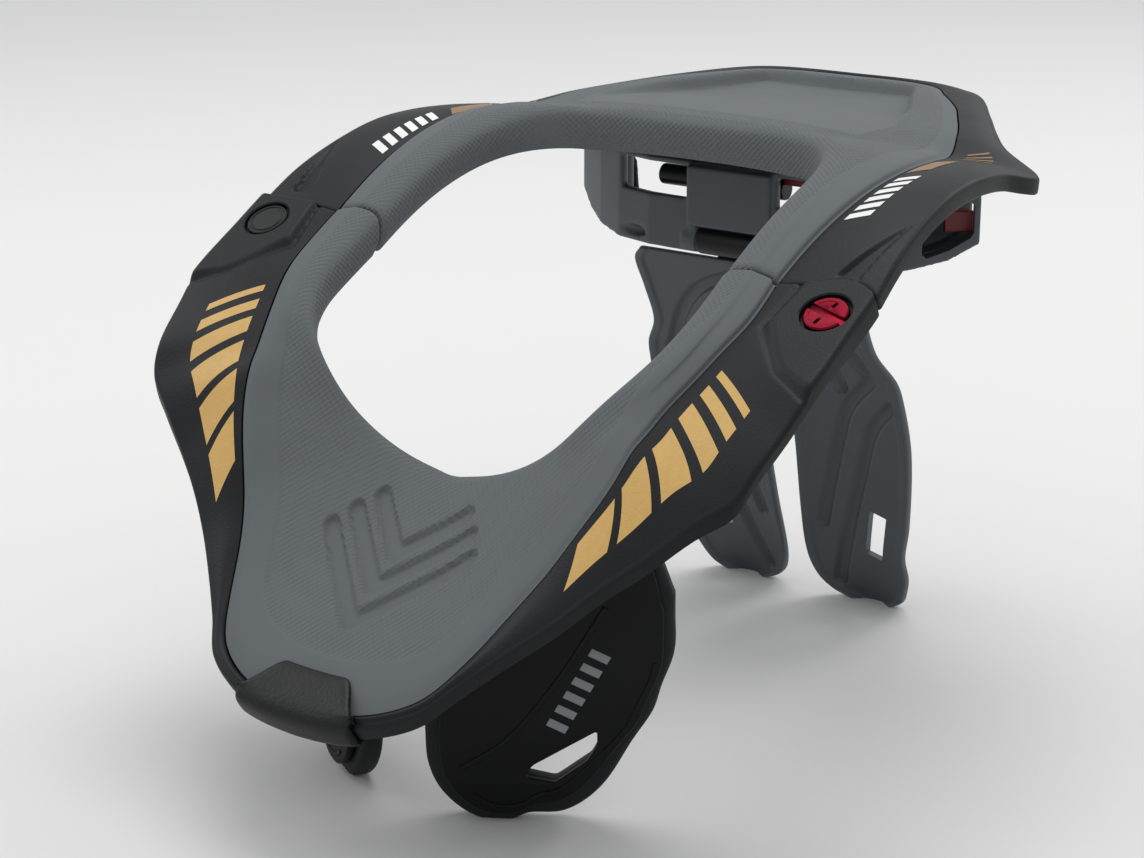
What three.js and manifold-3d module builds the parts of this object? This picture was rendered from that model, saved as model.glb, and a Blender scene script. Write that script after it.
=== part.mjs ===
// Motocross neck brace: a front and a rear half round the neck, a folding back strut and two chest wings.
// Millimetres, +Z up. The chest is towards -Y, the back towards +Y and the wearer's left towards +X.
// While it is built, Y = 0 is at the pivots and Z = 0 is the surface that the brace stands on.
import * as THREE from 'three';
import { mergeVertices } from 'three/addons/utils/BufferGeometryUtils.js';
import Module from 'manifold-3d';

const wasm = await Module();
wasm.setup();

// Ring
const RING_HALF_WIDTH = 148;
const NECK_HALF_WIDTH = 82;
const FRONT_REACH = 138;
const REAR_REACH = 252;
const NECK_FRONT = 42;
const NECK_REAR = 114;
const PIVOT_HEIGHT = 196;
const NOSE_HEIGHT = 56;
const TABLE_HEIGHT = 237;
const NECK_FRONT_HEIGHT = 120;
const NECK_REAR_HEIGHT = 229;
const SEAM_LIFT = 12;

// Shells and pads
const SHELL_SKIN = 3;
const RIM_DEPTH = 7.5;
const PAD_BED = 3.3;
const PAD_ROLL = 11;
const PAD_CROWN = 7.5;
const PAD_LIP = 11;
const DISH_DEPTH = 7;
const FIT_GAP = 0.35;
const SPLIT_OFFSET = 12;
const SPLIT_GAP = 0.6;

// Pivots
const PIVOT_INSET = 14;
const PIVOT_TILT = THREE.MathUtils.degToRad(30);
const EAR_RADIUS = 18;
const EAR_RISE = 1.4;
const EAR_DEPTH = 4.5;
const TONGUE_HALF_WIDTH = 10.5;
const TONGUE_THICKNESS = 3.2;
const SCREW_RADIUS = 8.6;
const SCREW_HEAD = 2.6;
const SCREW_SHANK = 4;
const SCREW_SINK = 0.4;
const RECESS_GAP = 1.2;
const COIN_SLOT = 2;
const PLUG_RADIUS = 8.8;

// Nose latch
const LATCH_HALF_WIDTH = 27;
const LATCH_THICKNESS = 3.4;
const LATCH_REACH = 17;
const LATCH_DROP = 11;

// Back strut and its carrier
const HINGE_OFFSET = 148;
const HINGE_HEIGHT = 177;
const BARREL_RADIUS = 6;
const BARREL_HALF_LENGTH = 17;
const PIN_RADIUS = 2;
const KNUCKLE_LENGTH = 7;
const CARRIER_HALF_WIDTH = 102;
const CARRIER_HEIGHT = 40;
const CARRIER_THICKNESS = 4.5;
const CARRIER_SWEEP = 34;
const CARRIER_DEPTH = 22;
const BLOCK_HALF_WIDTH = 21;
const BLOCK_DEPTH = 7;
const WINDOW_HEIGHT = 14;
const WINDOW_WIDTH = 38;
const ROD_RADIUS = 4.6;
const ROD_END = 20;
const CLIP_LENGTH = 12;
const CLIP_THICKNESS = 4;
const CLIP_HEIGHT = 9;
const STRUT_HALF_WIDTH = 66;
const STRUT_LEAN = 70;
const STRUT_THICKNESS = 5;
const STRUT_TOP_GAP = 2.5;
const STRUT_SETBACK = 2;
const STRUT_SLOT_WIDTH = 9;
const STRUT_SLOT_HEIGHT = 24;

// Chest wings
const WING_OFFSET = 71;
const WING_INSET = 36;
const WING_ANGLE = THREE.MathUtils.degToRad(31);
const WING_WIDTH = 93;
const WING_THICKNESS = 3.2;
const WING_PAD_THICKNESS = 9;
const WING_MARGIN = 6;

const COLOURS = {
  shell: { color: 0x2b2d2f, roughness: 0.62, metalness: 0 },
  foam: { color: 0x6b7073, roughness: 0.8, metalness: 0 },
  latch: { color: 0x232527, roughness: 0.6, metalness: 0 },
  screw: { color: 0xa01830, roughness: 0.3, metalness: 1 },
  clip: { color: 0x7c1a1c, roughness: 0.45, metalness: 0 },
  nylon: { color: 0x4a4f53, roughness: 0.55, metalness: 0 },
  barrel: { color: 0x202224, roughness: 0.6, metalness: 0 },
  pin: { color: 0xb4b6b8, roughness: 0.3, metalness: 1 },
  rubber: { color: 0x36393c, roughness: 0.8, metalness: 0 },
  panel: { color: 0x141517, roughness: 0.7, metalness: 0 },
};

// Table rows with named columns.
function rowsOf(names, rows) {
  return rows.map((row) => Object.fromEntries(names.map((name, i) => [name, row[i]])));
}

// Rows of the front half, from behind the pivot to the nose. Widths are shares of the ring or neck
// half width, ways of the reach or the neck front, drops of the fall from the pivots to the nose or
// to the neck edge. seam is where pad and shell meet, as a share of the way across.
const FRONT_ROWS = rowsOf(['outX', 'outY', 'outDrop', 'neckX', 'neckY', 'neckDrop', 'seam', 'lift'], [
  [0.993, -0.16, -0.09, 0.99, -0.52, -0.08, 0.38, 0.22],
  [1.0, -0.087, -0.045, 1.0, -0.286, -0.02, 0.37, 0.22],
  [1.0, 0.036, 0.025, 1.01, 0.12, 0.105, 0.385, 0.11],
  [1.0, 0.188, 0.1, 1.01, 0.43, 0.184, 0.34, 0.08],
  [0.987, 0.304, 0.2, 0.98, 0.7, 0.276, 0.31, 0.06],
  [0.966, 0.413, 0.293, 0.91, 0.93, 0.38, 0.31, 0.06],
  [0.939, 0.464, 0.364, 0.8, 1.04, 0.5, 0.38, 0.4],
  [0.858, 0.514, 0.429, 0.695, 1.09, 0.63, 0.47, 0.9],
  [0.757, 0.565, 0.529, 0.585, 1.09, 0.743, 0.59, 1.0],
  [0.662, 0.623, 0.614, 0.463, 1.07, 0.842, 0.68, 0.75],
  [0.574, 0.688, 0.707, 0.341, 1.048, 0.908, 0.745, 0.4],
  [0.486, 0.768, 0.786, 0.232, 1.024, 0.954, 0.83, 0.1],
  [0.405, 0.848, 0.864, 0.134, 1.007, 0.98, 0.925, 0.02],
  [0.331, 0.928, 0.936, 0.061, 1.0, 0.993, 0.955, 0],
  [0.189, 0.986, 0.986, 0.03, 1.0, 1.0, 0.962, 0],
  [0, 1.0, 1.0, 0, 1.0, 1.0, 0.965, 0],
]);

// Rows of the rear half, from ahead of the split to the middle of the rear edge. Rises are shares of
// the climb from the pivots to the table or to the neck edge, and dish of the table's depth.
const REAR_ROWS = rowsOf(['outX', 'outY', 'outRise', 'neckX', 'neckY', 'neckRise', 'seam', 'lift', 'dish'], [
  [0.999, 0.024, 0.05, 1.0, 0.053, -0.09, 0.37, 0.22, 0],
  [0.983, 0.119, 0.402, 1.0, 0.281, 0.364, 0.4, 0.14, 0],
  [0.966, 0.214, 0.634, 0.994, 0.474, 0.636, 0.447, 0.15, 0],
  [0.953, 0.302, 0.768, 0.976, 0.658, 0.818, 0.475, 0.1, 0],
  [0.939, 0.381, 0.805, 0.915, 0.807, 0.94, 0.547, 0.1, 0],
  [0.926, 0.452, 0.793, 0.805, 0.912, 0.985, 0.6, 0.1, 0],
  [0.909, 0.532, 0.732, 0.683, 0.96, 1.0, 0.66, 0.13, 0.1],
  [0.919, 0.635, 0.61, 0.561, 0.982, 1.0, 0.645, 0.4, 0.35],
  [0.763, 0.702, 0.756, 0.451, 0.991, 1.0, 0.777, 0.35, 0.8],
  [0.662, 0.778, 0.829, 0.354, 0.996, 1.0, 0.84, 0.33, 1.0],
  [0.568, 0.861, 0.89, 0.268, 1.0, 1.0, 0.84, 0.3, 1.0],
  [0.419, 0.98, 0.963, 0.183, 1.0, 1.0, 0.87, 0.22, 1.0],
  [0.311, 0.998, 0.988, 0.11, 1.0, 1.0, 0.93, 0.15, 1.0],
  [0.162, 1.0, 1.0, 0.055, 1.0, 1.0, 0.95, 0.1, 1.0],
  [0, 1.0, 1.0, 0, 1.0, 1.0, 0.955, 0.08, 1.0],
]);

// Outline of a pad across the ring. A point's way out is a share of the pad's width plus one of the
// roll, and its height is made of shares of the crown, the inner lip, the seam's lift and the dish.
const PAD_OUTLINE = rowsOf(['width', 'roll', 'crown', 'lip', 'lift', 'dish'], [
  [0, 0.25, 0, -1, 0, 0],
  [0, 0.03, 0, -0.55, 0, 0],
  [0, 0, 0, 0, 0, 0],
  [0, 0.11, 0.55, 0, 0, 0],
  [0, 0.42, 0.9, 0, 0, 0],
  [0, 1, 1, 0, 0.05, 0],
  [0.2, 0.9, 0.85, 0, 0.25, -1],
  [0.8, -0.3, 0.4, 0, 0.8, -1],
  [0.9, 0, 0.25, 0, 0.95, 0],
]);

const up = new THREE.Vector3(0, 0, 1);

// Turns a closed geometry into a solid that can be joined and cut.
function solid(geometry) {
  const bare = geometry.clone();
  bare.deleteAttribute('normal');
  bare.deleteAttribute('uv');
  const merged = mergeVertices(bare, 1e-4);
  return new wasm.Manifold(new wasm.Mesh({
    numProp: 3,
    vertProperties: new Float32Array(merged.attributes.position.array),
    triVerts: new Uint32Array(merged.index.array),
  }));
}

// Turns a solid back into a geometry.
function geometryOf(body) {
  const mesh = body.getMesh();
  const geometry = new THREE.BufferGeometry();
  geometry.setAttribute('position', new THREE.BufferAttribute(new Float32Array(mesh.vertProperties), 3));
  geometry.setIndex(new THREE.BufferAttribute(new Uint32Array(mesh.triVerts), 1));
  geometry.computeVertexNormals();
  return geometry;
}

// A solid from a geometry placed by a matrix.
function placed(geometry, matrix) {
  return solid(geometry.clone().applyMatrix4(matrix));
}

function boxBetween(low, high) {
  const size = high.clone().sub(low);
  const centre = low.clone().add(high).multiplyScalar(0.5);
  return new THREE.BoxGeometry(size.x, size.y, size.z).translate(centre.x, centre.y, centre.z);
}

// Triangles of a flat outline, wound the way the outline runs.
function endFaces(outline) {
  const faces = THREE.ShapeUtils.triangulateShape(outline, []);
  return THREE.ShapeUtils.area(outline) > 0 ? faces : faces.map(([a, b, c]) => [a, c, b]);
}

// Closed body through outlines that all have the same number of points, with flat ends. Each face is
// split along its shorter diagonal, so that bodies that lie against each other are split alike.
function loft(outlines, endPlane) {
  const count = outlines[0].length;
  const positions = [];
  const triangles = [];
  outlines.forEach((outline) => outline.forEach((point) => positions.push(point.x, point.y, point.z)));
  const at = (i) => outlines[Math.floor(i / count)][i % count];
  for (let ring = 0; ring + 1 < outlines.length; ring += 1) {
    for (let corner = 0; corner < count; corner += 1) {
      const next = (corner + 1) % count;
      const a = ring * count + corner;
      const b = ring * count + next;
      if (at(a).distanceTo(at(b + count)) <= at(b).distanceTo(at(a + count))) {
        triangles.push(a, b, b + count, a, b + count, a + count);
      } else {
        triangles.push(a, b, a + count, b, b + count, a + count);
      }
    }
  }
  const last = (outlines.length - 1) * count;
  endFaces(endPlane[0]).forEach(([a, b, c]) => triangles.push(a, c, b));
  endFaces(endPlane[1]).forEach(([a, b, c]) => triangles.push(last + a, last + b, last + c));
  const geometry = new THREE.BufferGeometry();
  geometry.setAttribute('position', new THREE.Float32BufferAttribute(positions, 3));
  geometry.setIndex(triangles);
  if (signedVolume(geometry) < 0) {
    const index = geometry.index.array;
    for (let i = 0; i < index.length; i += 3) {
      [index[i], index[i + 1]] = [index[i + 1], index[i]];
    }
  }
  return geometry;
}

function signedVolume(geometry) {
  const position = geometry.attributes.position;
  const index = geometry.index.array;
  const [a, b, c] = [new THREE.Vector3(), new THREE.Vector3(), new THREE.Vector3()];
  let volume = 0;
  for (let i = 0; i < index.length; i += 3) {
    a.fromBufferAttribute(position, index[i]);
    b.fromBufferAttribute(position, index[i + 1]);
    c.fromBufferAttribute(position, index[i + 2]);
    volume += a.dot(b.cross(c)) / 6;
  }
  return volume;
}

// Right half rows followed by their mirror images.
function mirroredRows(rows) {
  const left = rows.slice(0, -1).reverse().map((row) => ({ ...row, outX: -row.outX, neckX: -row.neckX }));
  return [...rows, ...left];
}

function throughRows(rows, pick, type) {
  return new THREE.CatmullRomCurve3(rows.map(pick), false, type);
}

// Vertical sections across the ring: neck edge, direction across, direction up, pad width and so on.
function ringSections(rows, outAt, neckAt, count) {
  const all = mirroredRows(rows);
  const out = throughRows(all, outAt, 'centripetal');
  const neck = throughRows(all, neckAt, 'centripetal');
  const seam = throughRows(all, (row) => new THREE.Vector3(row.seam, row.lift, row.dish ?? 0), 'catmullrom');
  return Array.from({ length: count + 1 }, (_, i) => {
    const origin = neck.getPoint(i / count);
    const across = out.getPoint(i / count).sub(origin);
    const span = across.length();
    across.divideScalar(span);
    const rise = up.clone().addScaledVector(across, -across.z).normalize();
    const share = seam.getPoint(i / count);
    return {
      origin, across, rise, span,
      width: share.x * span, lift: share.y * SEAM_LIFT, dish: share.z * DISH_DEPTH,
    };
  });
}

function frontSections(count) {
  const fall = PIVOT_HEIGHT - NOSE_HEIGHT;
  const neckFall = PIVOT_HEIGHT - NECK_FRONT_HEIGHT;
  const outAt = (row) => new THREE.Vector3(
    row.outX * RING_HALF_WIDTH, -row.outY * FRONT_REACH, PIVOT_HEIGHT - row.outDrop * fall);
  const neckAt = (row) => new THREE.Vector3(
    row.neckX * NECK_HALF_WIDTH, -row.neckY * NECK_FRONT, PIVOT_HEIGHT - row.neckDrop * neckFall);
  return ringSections(FRONT_ROWS, outAt, neckAt, count);
}

function rearSections(count) {
  const climb = TABLE_HEIGHT - PIVOT_HEIGHT;
  const neckClimb = NECK_REAR_HEIGHT - PIVOT_HEIGHT;
  const outAt = (row) => new THREE.Vector3(
    row.outX * RING_HALF_WIDTH, row.outY * REAR_REACH, PIVOT_HEIGHT + row.outRise * climb);
  const neckAt = (row) => new THREE.Vector3(
    row.neckX * NECK_HALF_WIDTH, row.neckY * NECK_REAR, PIVOT_HEIGHT + row.neckRise * neckClimb);
  return ringSections(REAR_ROWS, outAt, neckAt, count);
}

// Height of the bed that carries the pad, at its middle, and the end of the bed near the neck.
const BED_END = 0.82;
const BED_MIDDLE = 0.55;
const BED_DISH = 0.6;

function bedHeight(section) {
  return 0.5 * section.lift - BED_DISH * section.dish - PAD_BED;
}

function padOutline(section) {
  const points = PAD_OUTLINE.map((row) => new THREE.Vector2(
    row.width * section.width + row.roll * PAD_ROLL,
    row.crown * PAD_CROWN + row.lip * PAD_LIP + row.lift * section.lift + row.dish * section.dish));
  const bedEnd = BED_END * PAD_ROLL;
  points.push(
    new THREE.Vector2(section.width - FIT_GAP, section.lift),
    new THREE.Vector2(section.width - FIT_GAP, section.lift - PAD_BED + FIT_GAP),
    new THREE.Vector2(BED_MIDDLE * section.width, bedHeight(section) + FIT_GAP),
    new THREE.Vector2(bedEnd - FIT_GAP, -PAD_BED + FIT_GAP),
    new THREE.Vector2(bedEnd - FIT_GAP, -PAD_LIP));
  return points;
}

function shellOutline(section) {
  const { width, span, lift } = section;
  const middle = 0.5 * (width + span);
  const wall = Math.max(span - SHELL_SKIN, middle + 0.1 * SHELL_SKIN);
  const bedEnd = BED_END * PAD_ROLL;
  return [
    new THREE.Vector2(width, lift),
    new THREE.Vector2(middle, 0.5 * lift + 0.4 * SHELL_SKIN),
    new THREE.Vector2(span - 0.3 * SHELL_SKIN, 0),
    new THREE.Vector2(span, -0.4 * SHELL_SKIN),
    new THREE.Vector2(span, -RIM_DEPTH),
    new THREE.Vector2(wall, -RIM_DEPTH),
    new THREE.Vector2(wall, -1.2 * SHELL_SKIN),
    new THREE.Vector2(middle, 0.5 * lift - 0.6 * SHELL_SKIN),
    new THREE.Vector2(width, lift - PAD_BED - SHELL_SKIN),
    new THREE.Vector2(BED_MIDDLE * width, bedHeight(section) - SHELL_SKIN),
    new THREE.Vector2(bedEnd, -PAD_BED - SHELL_SKIN),
    new THREE.Vector2(bedEnd, -PAD_BED),
    new THREE.Vector2(BED_MIDDLE * width, bedHeight(section)),
    new THREE.Vector2(width, lift - PAD_BED),
  ];
}

// Body whose outline runs along the ring sections.
function alongRing(sections, outlineOf) {
  const flat = sections.map(outlineOf);
  const outlines = sections.map((section, i) => flat[i].map((point) => section.origin.clone()
    .addScaledVector(section.across, point.x)
    .addScaledVector(section.rise, point.y)));
  return loft(outlines, [flat[0], flat[flat.length - 1]]);
}

// Frame on the shell's surface at a pivot: X across, Y up the slope and Z out of the surface.
const PIVOT_X = RING_HALF_WIDTH - PIVOT_INSET;

function pivotMatrix(side) {
  return new THREE.Matrix4()
    .makeTranslation(side * PIVOT_X, 0, PIVOT_HEIGHT)
    .multiply(new THREE.Matrix4().makeRotationX(PIVOT_TILT));
}

function disc(radius, low, high, segments = 48) {
  return new THREE.CylinderGeometry(radius, radius, high - low, segments)
    .rotateX(Math.PI / 2)
    .translate(0, 0, (low + high) / 2);
}

function plateFrom(points, low, high) {
  return new THREE.ExtrudeGeometry(new THREE.Shape(points), { depth: high - low, bevelEnabled: false })
    .translate(0, 0, low);
}

const REACH = 2 * REAR_REACH;
const SPLIT_V = SPLIT_OFFSET / Math.cos(PIVOT_TILT);

// Everything behind the split, apart from the round ear where there is one.
function behindSplit(side, clearance) {
  const half = boxBetween(
    new THREE.Vector3(side > 0 ? 0 : -REACH, SPLIT_OFFSET + clearance, -REACH),
    new THREE.Vector3(side > 0 ? REACH : 0, REACH, REACH));
  if (side < 0) return solid(half);
  const ear = placed(disc(EAR_RADIUS + clearance, -REACH, REACH), pivotMatrix(side));
  return solid(half).subtract(ear);
}

// The raised plate of an ear, which fills the shell's edge round its pivot.
function earPlate(side) {
  const rim = PIVOT_INSET;
  const points = [
    [-rim * 1.25, SPLIT_V * 0.98], [-rim * 1.5, -EAR_RADIUS * 0.55], [-rim * 0.2, -EAR_RADIUS * 1.75],
    [rim * 0.86, -EAR_RADIUS * 2.1], [rim * 0.98, -EAR_RADIUS], [rim * 0.98, SPLIT_V * 0.8],
  ].map(([x, y]) => new THREE.Vector2(side * x, y));
  if (side < 0) points.reverse();
  const plate = placed(plateFrom(points, -EAR_DEPTH, EAR_RISE), pivotMatrix(side));
  if (side < 0) return plate;
  const edge = boxBetween(
    new THREE.Vector3(-EAR_RADIUS, 0, -EAR_DEPTH), new THREE.Vector3(rim, EAR_RADIUS, EAR_RISE));
  const round = placed(disc(EAR_RADIUS, -EAR_DEPTH, EAR_RISE), pivotMatrix(side));
  return plate.add(round.intersect(placed(edge, pivotMatrix(side))));
}

// Tab of the rear half that lies under an ear.
function tongue(side) {
  const top = -EAR_DEPTH - FIT_GAP;
  const step = EAR_RADIUS + SPLIT_GAP;
  const tab = boxBetween(
    new THREE.Vector3(-TONGUE_HALF_WIDTH, side > 0 ? 0 : -TONGUE_HALF_WIDTH, top - TONGUE_THICKNESS),
    new THREE.Vector3(TONGUE_HALF_WIDTH, step + SHELL_SKIN, top));
  const riser = boxBetween(
    new THREE.Vector3(-TONGUE_HALF_WIDTH, step, top - TONGUE_THICKNESS),
    new THREE.Vector3(TONGUE_HALF_WIDTH, step + 2 * SHELL_SKIN, -0.5 * SHELL_SKIN));
  const body = placed(tab, pivotMatrix(side)).add(placed(riser, pivotMatrix(side)));
  if (side < 0) return body;
  const eye = disc(TONGUE_HALF_WIDTH, top - TONGUE_THICKNESS, top);
  const bore = disc(SCREW_SHANK + FIT_GAP, -REACH, REACH, 24);
  return body.add(placed(eye, pivotMatrix(side))).subtract(placed(bore, pivotMatrix(side)));
}

// Recess for the screw head or the plug in the top of an ear.
function earRecess(side, radius) {
  const floor = EAR_RISE - SCREW_HEAD;
  const recess = placed(disc(radius + RECESS_GAP, floor, REACH), pivotMatrix(side));
  if (side < 0) return recess;
  return recess.add(placed(disc(SCREW_SHANK + FIT_GAP, -REACH, floor, 24), pivotMatrix(side)));
}

// Room under the hinged ear for the tongue to swing outwards.
function tongueRoom() {
  const inner = -TONGUE_HALF_WIDTH - RECESS_GAP;
  const room = boxBetween(
    new THREE.Vector3(inner, inner, -REACH), new THREE.Vector3(REACH, REACH, -EAR_DEPTH));
  return placed(room, pivotMatrix(1));
}

// Corner outside the round end of the hinged ear, which the rear half sweeps as it opens.
function sweptCorner() {
  const corner = boxBetween(new THREE.Vector3(0, 0, -REACH), new THREE.Vector3(REACH, REACH, REACH));
  return placed(corner, pivotMatrix(1)).subtract(placed(disc(EAR_RADIUS, -REACH, REACH), pivotMatrix(1)));
}

function frontShell(sections) {
  let body = solid(alongRing(sections, shellOutline));
  for (const side of [1, -1]) {
    body = body.add(earPlate(side)).subtract(behindSplit(side, 0));
  }
  body = body.subtract(tongueRoom()).subtract(sweptCorner());
  return geometryOf(body.subtract(earRecess(1, SCREW_RADIUS)).subtract(earRecess(-1, PLUG_RADIUS)));
}

function aheadOfSplit(side) {
  const clearance = SPLIT_GAP;
  const half = solid(boxBetween(
    new THREE.Vector3(side > 0 ? 0 : -REACH, -REACH, -REACH),
    new THREE.Vector3(side > 0 ? REACH : 0, SPLIT_OFFSET + clearance, REACH)));
  if (side < 0) return half;
  return half.add(placed(disc(EAR_RADIUS + clearance, -REACH, REACH), pivotMatrix(side)));
}

function rearShell(sections) {
  let body = solid(alongRing(sections, shellOutline));
  for (const side of [1, -1]) {
    body = body.subtract(aheadOfSplit(side)).add(tongue(side));
  }
  return geometryOf(body);
}

// A pad, trimmed where the two halves of the brace meet.
function pad(sections, low, high) {
  const slab = boxBetween(new THREE.Vector3(-REACH, low, -REACH), new THREE.Vector3(REACH, high, REACH));
  return geometryOf(solid(alongRing(sections, padOutline)).intersect(solid(slab)));
}

// Turned screw with a sunk head, a coin slot and a flange that holds the tongue from below.
function pivotScrew() {
  const headTop = EAR_RISE - SCREW_SINK;
  const headBottom = EAR_RISE - SCREW_HEAD + FIT_GAP;
  const flangeTop = -EAR_DEPTH - 2 * FIT_GAP - TONGUE_THICKNESS;
  const flangeBottom = flangeTop - 1.5;
  const chamfer = 0.7;
  const profile = [
    [0, flangeBottom], [SCREW_SHANK + 2.5, flangeBottom], [SCREW_SHANK + 2.5, flangeTop],
    [SCREW_SHANK, flangeTop], [SCREW_SHANK, headBottom], [SCREW_RADIUS, headBottom],
    [SCREW_RADIUS, headTop - chamfer], [SCREW_RADIUS - chamfer, headTop], [0, headTop],
  ].map(([r, z]) => new THREE.Vector2(r, z));
  const turned = new THREE.LatheGeometry(profile, 40).rotateX(Math.PI / 2);
  const slot = boxBetween(
    new THREE.Vector3(-COIN_SLOT / 2, -SCREW_RADIUS * 1.1, headTop - 1.2),
    new THREE.Vector3(COIN_SLOT / 2, SCREW_RADIUS * 1.1, headTop + 1)).rotateZ(Math.PI / 5);
  const body = solid(turned).subtract(solid(slot));
  return geometryOf(body).applyMatrix4(pivotMatrix(1));
}

function pivotPlug() {
  const top = EAR_RISE - SCREW_SINK;
  const bottom = EAR_RISE - SCREW_HEAD + FIT_GAP;
  const profile = [
    [0, bottom], [PLUG_RADIUS, bottom], [PLUG_RADIUS, top - 0.6], [PLUG_RADIUS - 0.6, top], [0, top],
  ].map(([r, z]) => new THREE.Vector2(r, z));
  return new THREE.LatheGeometry(profile, 40).rotateX(Math.PI / 2).applyMatrix4(pivotMatrix(-1));
}

// Clip that wraps the rim at the nose. Its inside follows the middle section of the front half.
function noseLatch(sections) {
  const middle = sections[(sections.length - 1) / 2];
  const { span } = middle;
  const inner = [
    [span - LATCH_REACH, 2.6], [span - 4, 2], [span + FIT_GAP, 1.6],
    [span + FIT_GAP, -RIM_DEPTH - FIT_GAP], [span - 6, -RIM_DEPTH - FIT_GAP],
  ];
  const outer = [
    [span - 6, -LATCH_DROP], [span + LATCH_THICKNESS, -LATCH_DROP],
    [span + LATCH_THICKNESS, 2], [span - 2, 2 + LATCH_THICKNESS], [span - LATCH_REACH, 4],
  ];
  const points = [...inner, ...outer].map(([a, h]) => new THREE.Vector2(a, h));
  const width = 2 * LATCH_HALF_WIDTH;
  const clip = new THREE.ExtrudeGeometry(new THREE.Shape(points), { depth: width, bevelEnabled: false })
    .translate(0, 0, -LATCH_HALF_WIDTH);
  const matrix = new THREE.Matrix4()
    .makeBasis(middle.across, middle.rise, new THREE.Vector3().crossVectors(middle.across, middle.rise))
    .setPosition(middle.origin);
  const trim = [
    [-LATCH_HALF_WIDTH, span + LATCH_THICKNESS - 4], [-LATCH_HALF_WIDTH + 5, span + 2 * LATCH_THICKNESS],
    [LATCH_HALF_WIDTH - 5, span + 2 * LATCH_THICKNESS], [LATCH_HALF_WIDTH, span + LATCH_THICKNESS - 4],
    [LATCH_HALF_WIDTH, span - 6], [0.55 * LATCH_HALF_WIDTH, span - LATCH_REACH - 1],
    [-0.55 * LATCH_HALF_WIDTH, span - LATCH_REACH - 1], [-LATCH_HALF_WIDTH, span - 6],
  ];
  const plan = plateFrom(trim.map(([x, a]) => new THREE.Vector2(x, a)), -REACH, REACH);
  const planMatrix = new THREE.Matrix4()
    .makeBasis(new THREE.Vector3(1, 0, 0), middle.across,
      new THREE.Vector3().crossVectors(new THREE.Vector3(1, 0, 0), middle.across))
    .setPosition(middle.origin);
  return placed(clip, matrix).intersect(placed(plan, planMatrix));
}

// Lowest height of some bodies over a point of the plan, found by a ray from below.
function undersideAt(meshes, x, y) {
  const ray = new THREE.Raycaster(new THREE.Vector3(x, y, -REACH), up);
  const hits = ray.intersectObjects(meshes);
  return hits.length ? hits[0].point.z : REACH;
}

// Chest wing outlines, as shares of the wing's width: along the wing and up from the floor.
const WING_EDGE = rowsOf(['along', 'rise'], [
  [-0.26, 0.4], [-0.25, 0.24], [-0.205, 0.13], [-0.12, 0.043], [-0.03, 0],
  [0.09, 0], [0.16, 0.03], [0.29, 0.043], [0.38, 0.09], [0.47, 0.18],
  [0.575, 0.36], [0.66, 0.5], [0.69, 0.6], [0.74, 0.75], [0.74, 0.9],
]);
const WING_SLOT = rowsOf(['along', 'rise'], [
  [0.15, 0.21], [0.18, 0.26], [0.44, 0.42], [0.44, 0.36], [0.4, 0.29],
  [0.27, 0.19],
]);
const WING_TOP_STEPS = 12;
const WING_SEAT_GAP = 0.5;
const WING_SHOULDER = 1.13;
const WING_SHOULDER_SLOPE = 0.5;

// Frame of a wing: X along it, Y up and Z out of its front face.
function wingMatrix(side) {
  const along = new THREE.Vector3(side * Math.cos(WING_ANGLE), Math.sin(WING_ANGLE), 0);
  const out = new THREE.Vector3(side * Math.sin(WING_ANGLE), -Math.cos(WING_ANGLE), 0);
  return new THREE.Matrix4()
    .makeBasis(along, up, out)
    .setPosition(side * WING_INSET, -WING_OFFSET, 0);
}

// The wing's top edge: a shoulder that climbs inwards until it seats under the front half.
function wingTop(roof, from, to, low, high) {
  const matrix = wingMatrix(1);
  return Array.from({ length: WING_TOP_STEPS + 1 }, (_, i) => {
    const along = from + (to - from) * (i / WING_TOP_STEPS);
    const heights = [low, (low + high) / 2, high].map((out) => {
      const point = new THREE.Vector3(along, 0, out).applyMatrix4(matrix);
      return undersideAt(roof, point.x, point.y) - WING_SEAT_GAP;
    });
    const shoulder = WING_SHOULDER * WING_WIDTH + WING_SHOULDER_SLOPE * (to - along);
    return new THREE.Vector2(along, Math.min(shoulder, ...heights));
  });
}

function shrunk(points, margin) {
  const middle = points.reduce((sum, point) => sum.add(point), new THREE.Vector2())
    .divideScalar(points.length);
  return points.map((point) => {
    const offset = point.clone().sub(middle);
    const length = offset.length();
    return middle.clone().addScaledVector(offset, (length - margin) / length);
  });
}

function wingPoints(rows) {
  return rows.map((row) => new THREE.Vector2(row.along * WING_WIDTH, row.rise * WING_WIDTH));
}

function wingBody(roof, side, margin, low, high, slotGrowth) {
  const edge = shrunk(wingPoints(WING_EDGE), margin);
  const top = wingTop(roof, edge[0].x, edge[edge.length - 1].x, low, high).reverse();
  const shape = new THREE.Shape([...edge, ...top]);
  shape.holes.push(new THREE.Path(shrunk(wingPoints(WING_SLOT), -slotGrowth)));
  const plate = new THREE.ExtrudeGeometry(shape, { depth: high - low, bevelEnabled: false })
    .translate(0, 0, low)
    .applyMatrix4(wingMatrix(side));
  return side > 0 ? plate : flipped(plate);
}

// Turns faces round after a mirroring matrix.
function flipped(geometry) {
  const merged = mergeVertices(withoutExtras(geometry), 1e-4);
  const index = merged.index.array;
  for (let i = 0; i < index.length; i += 3) {
    [index[i], index[i + 1]] = [index[i + 1], index[i]];
  }
  return merged;
}

function withoutExtras(geometry) {
  const bare = geometry.clone();
  bare.deleteAttribute('normal');
  bare.deleteAttribute('uv');
  return bare;
}

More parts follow.
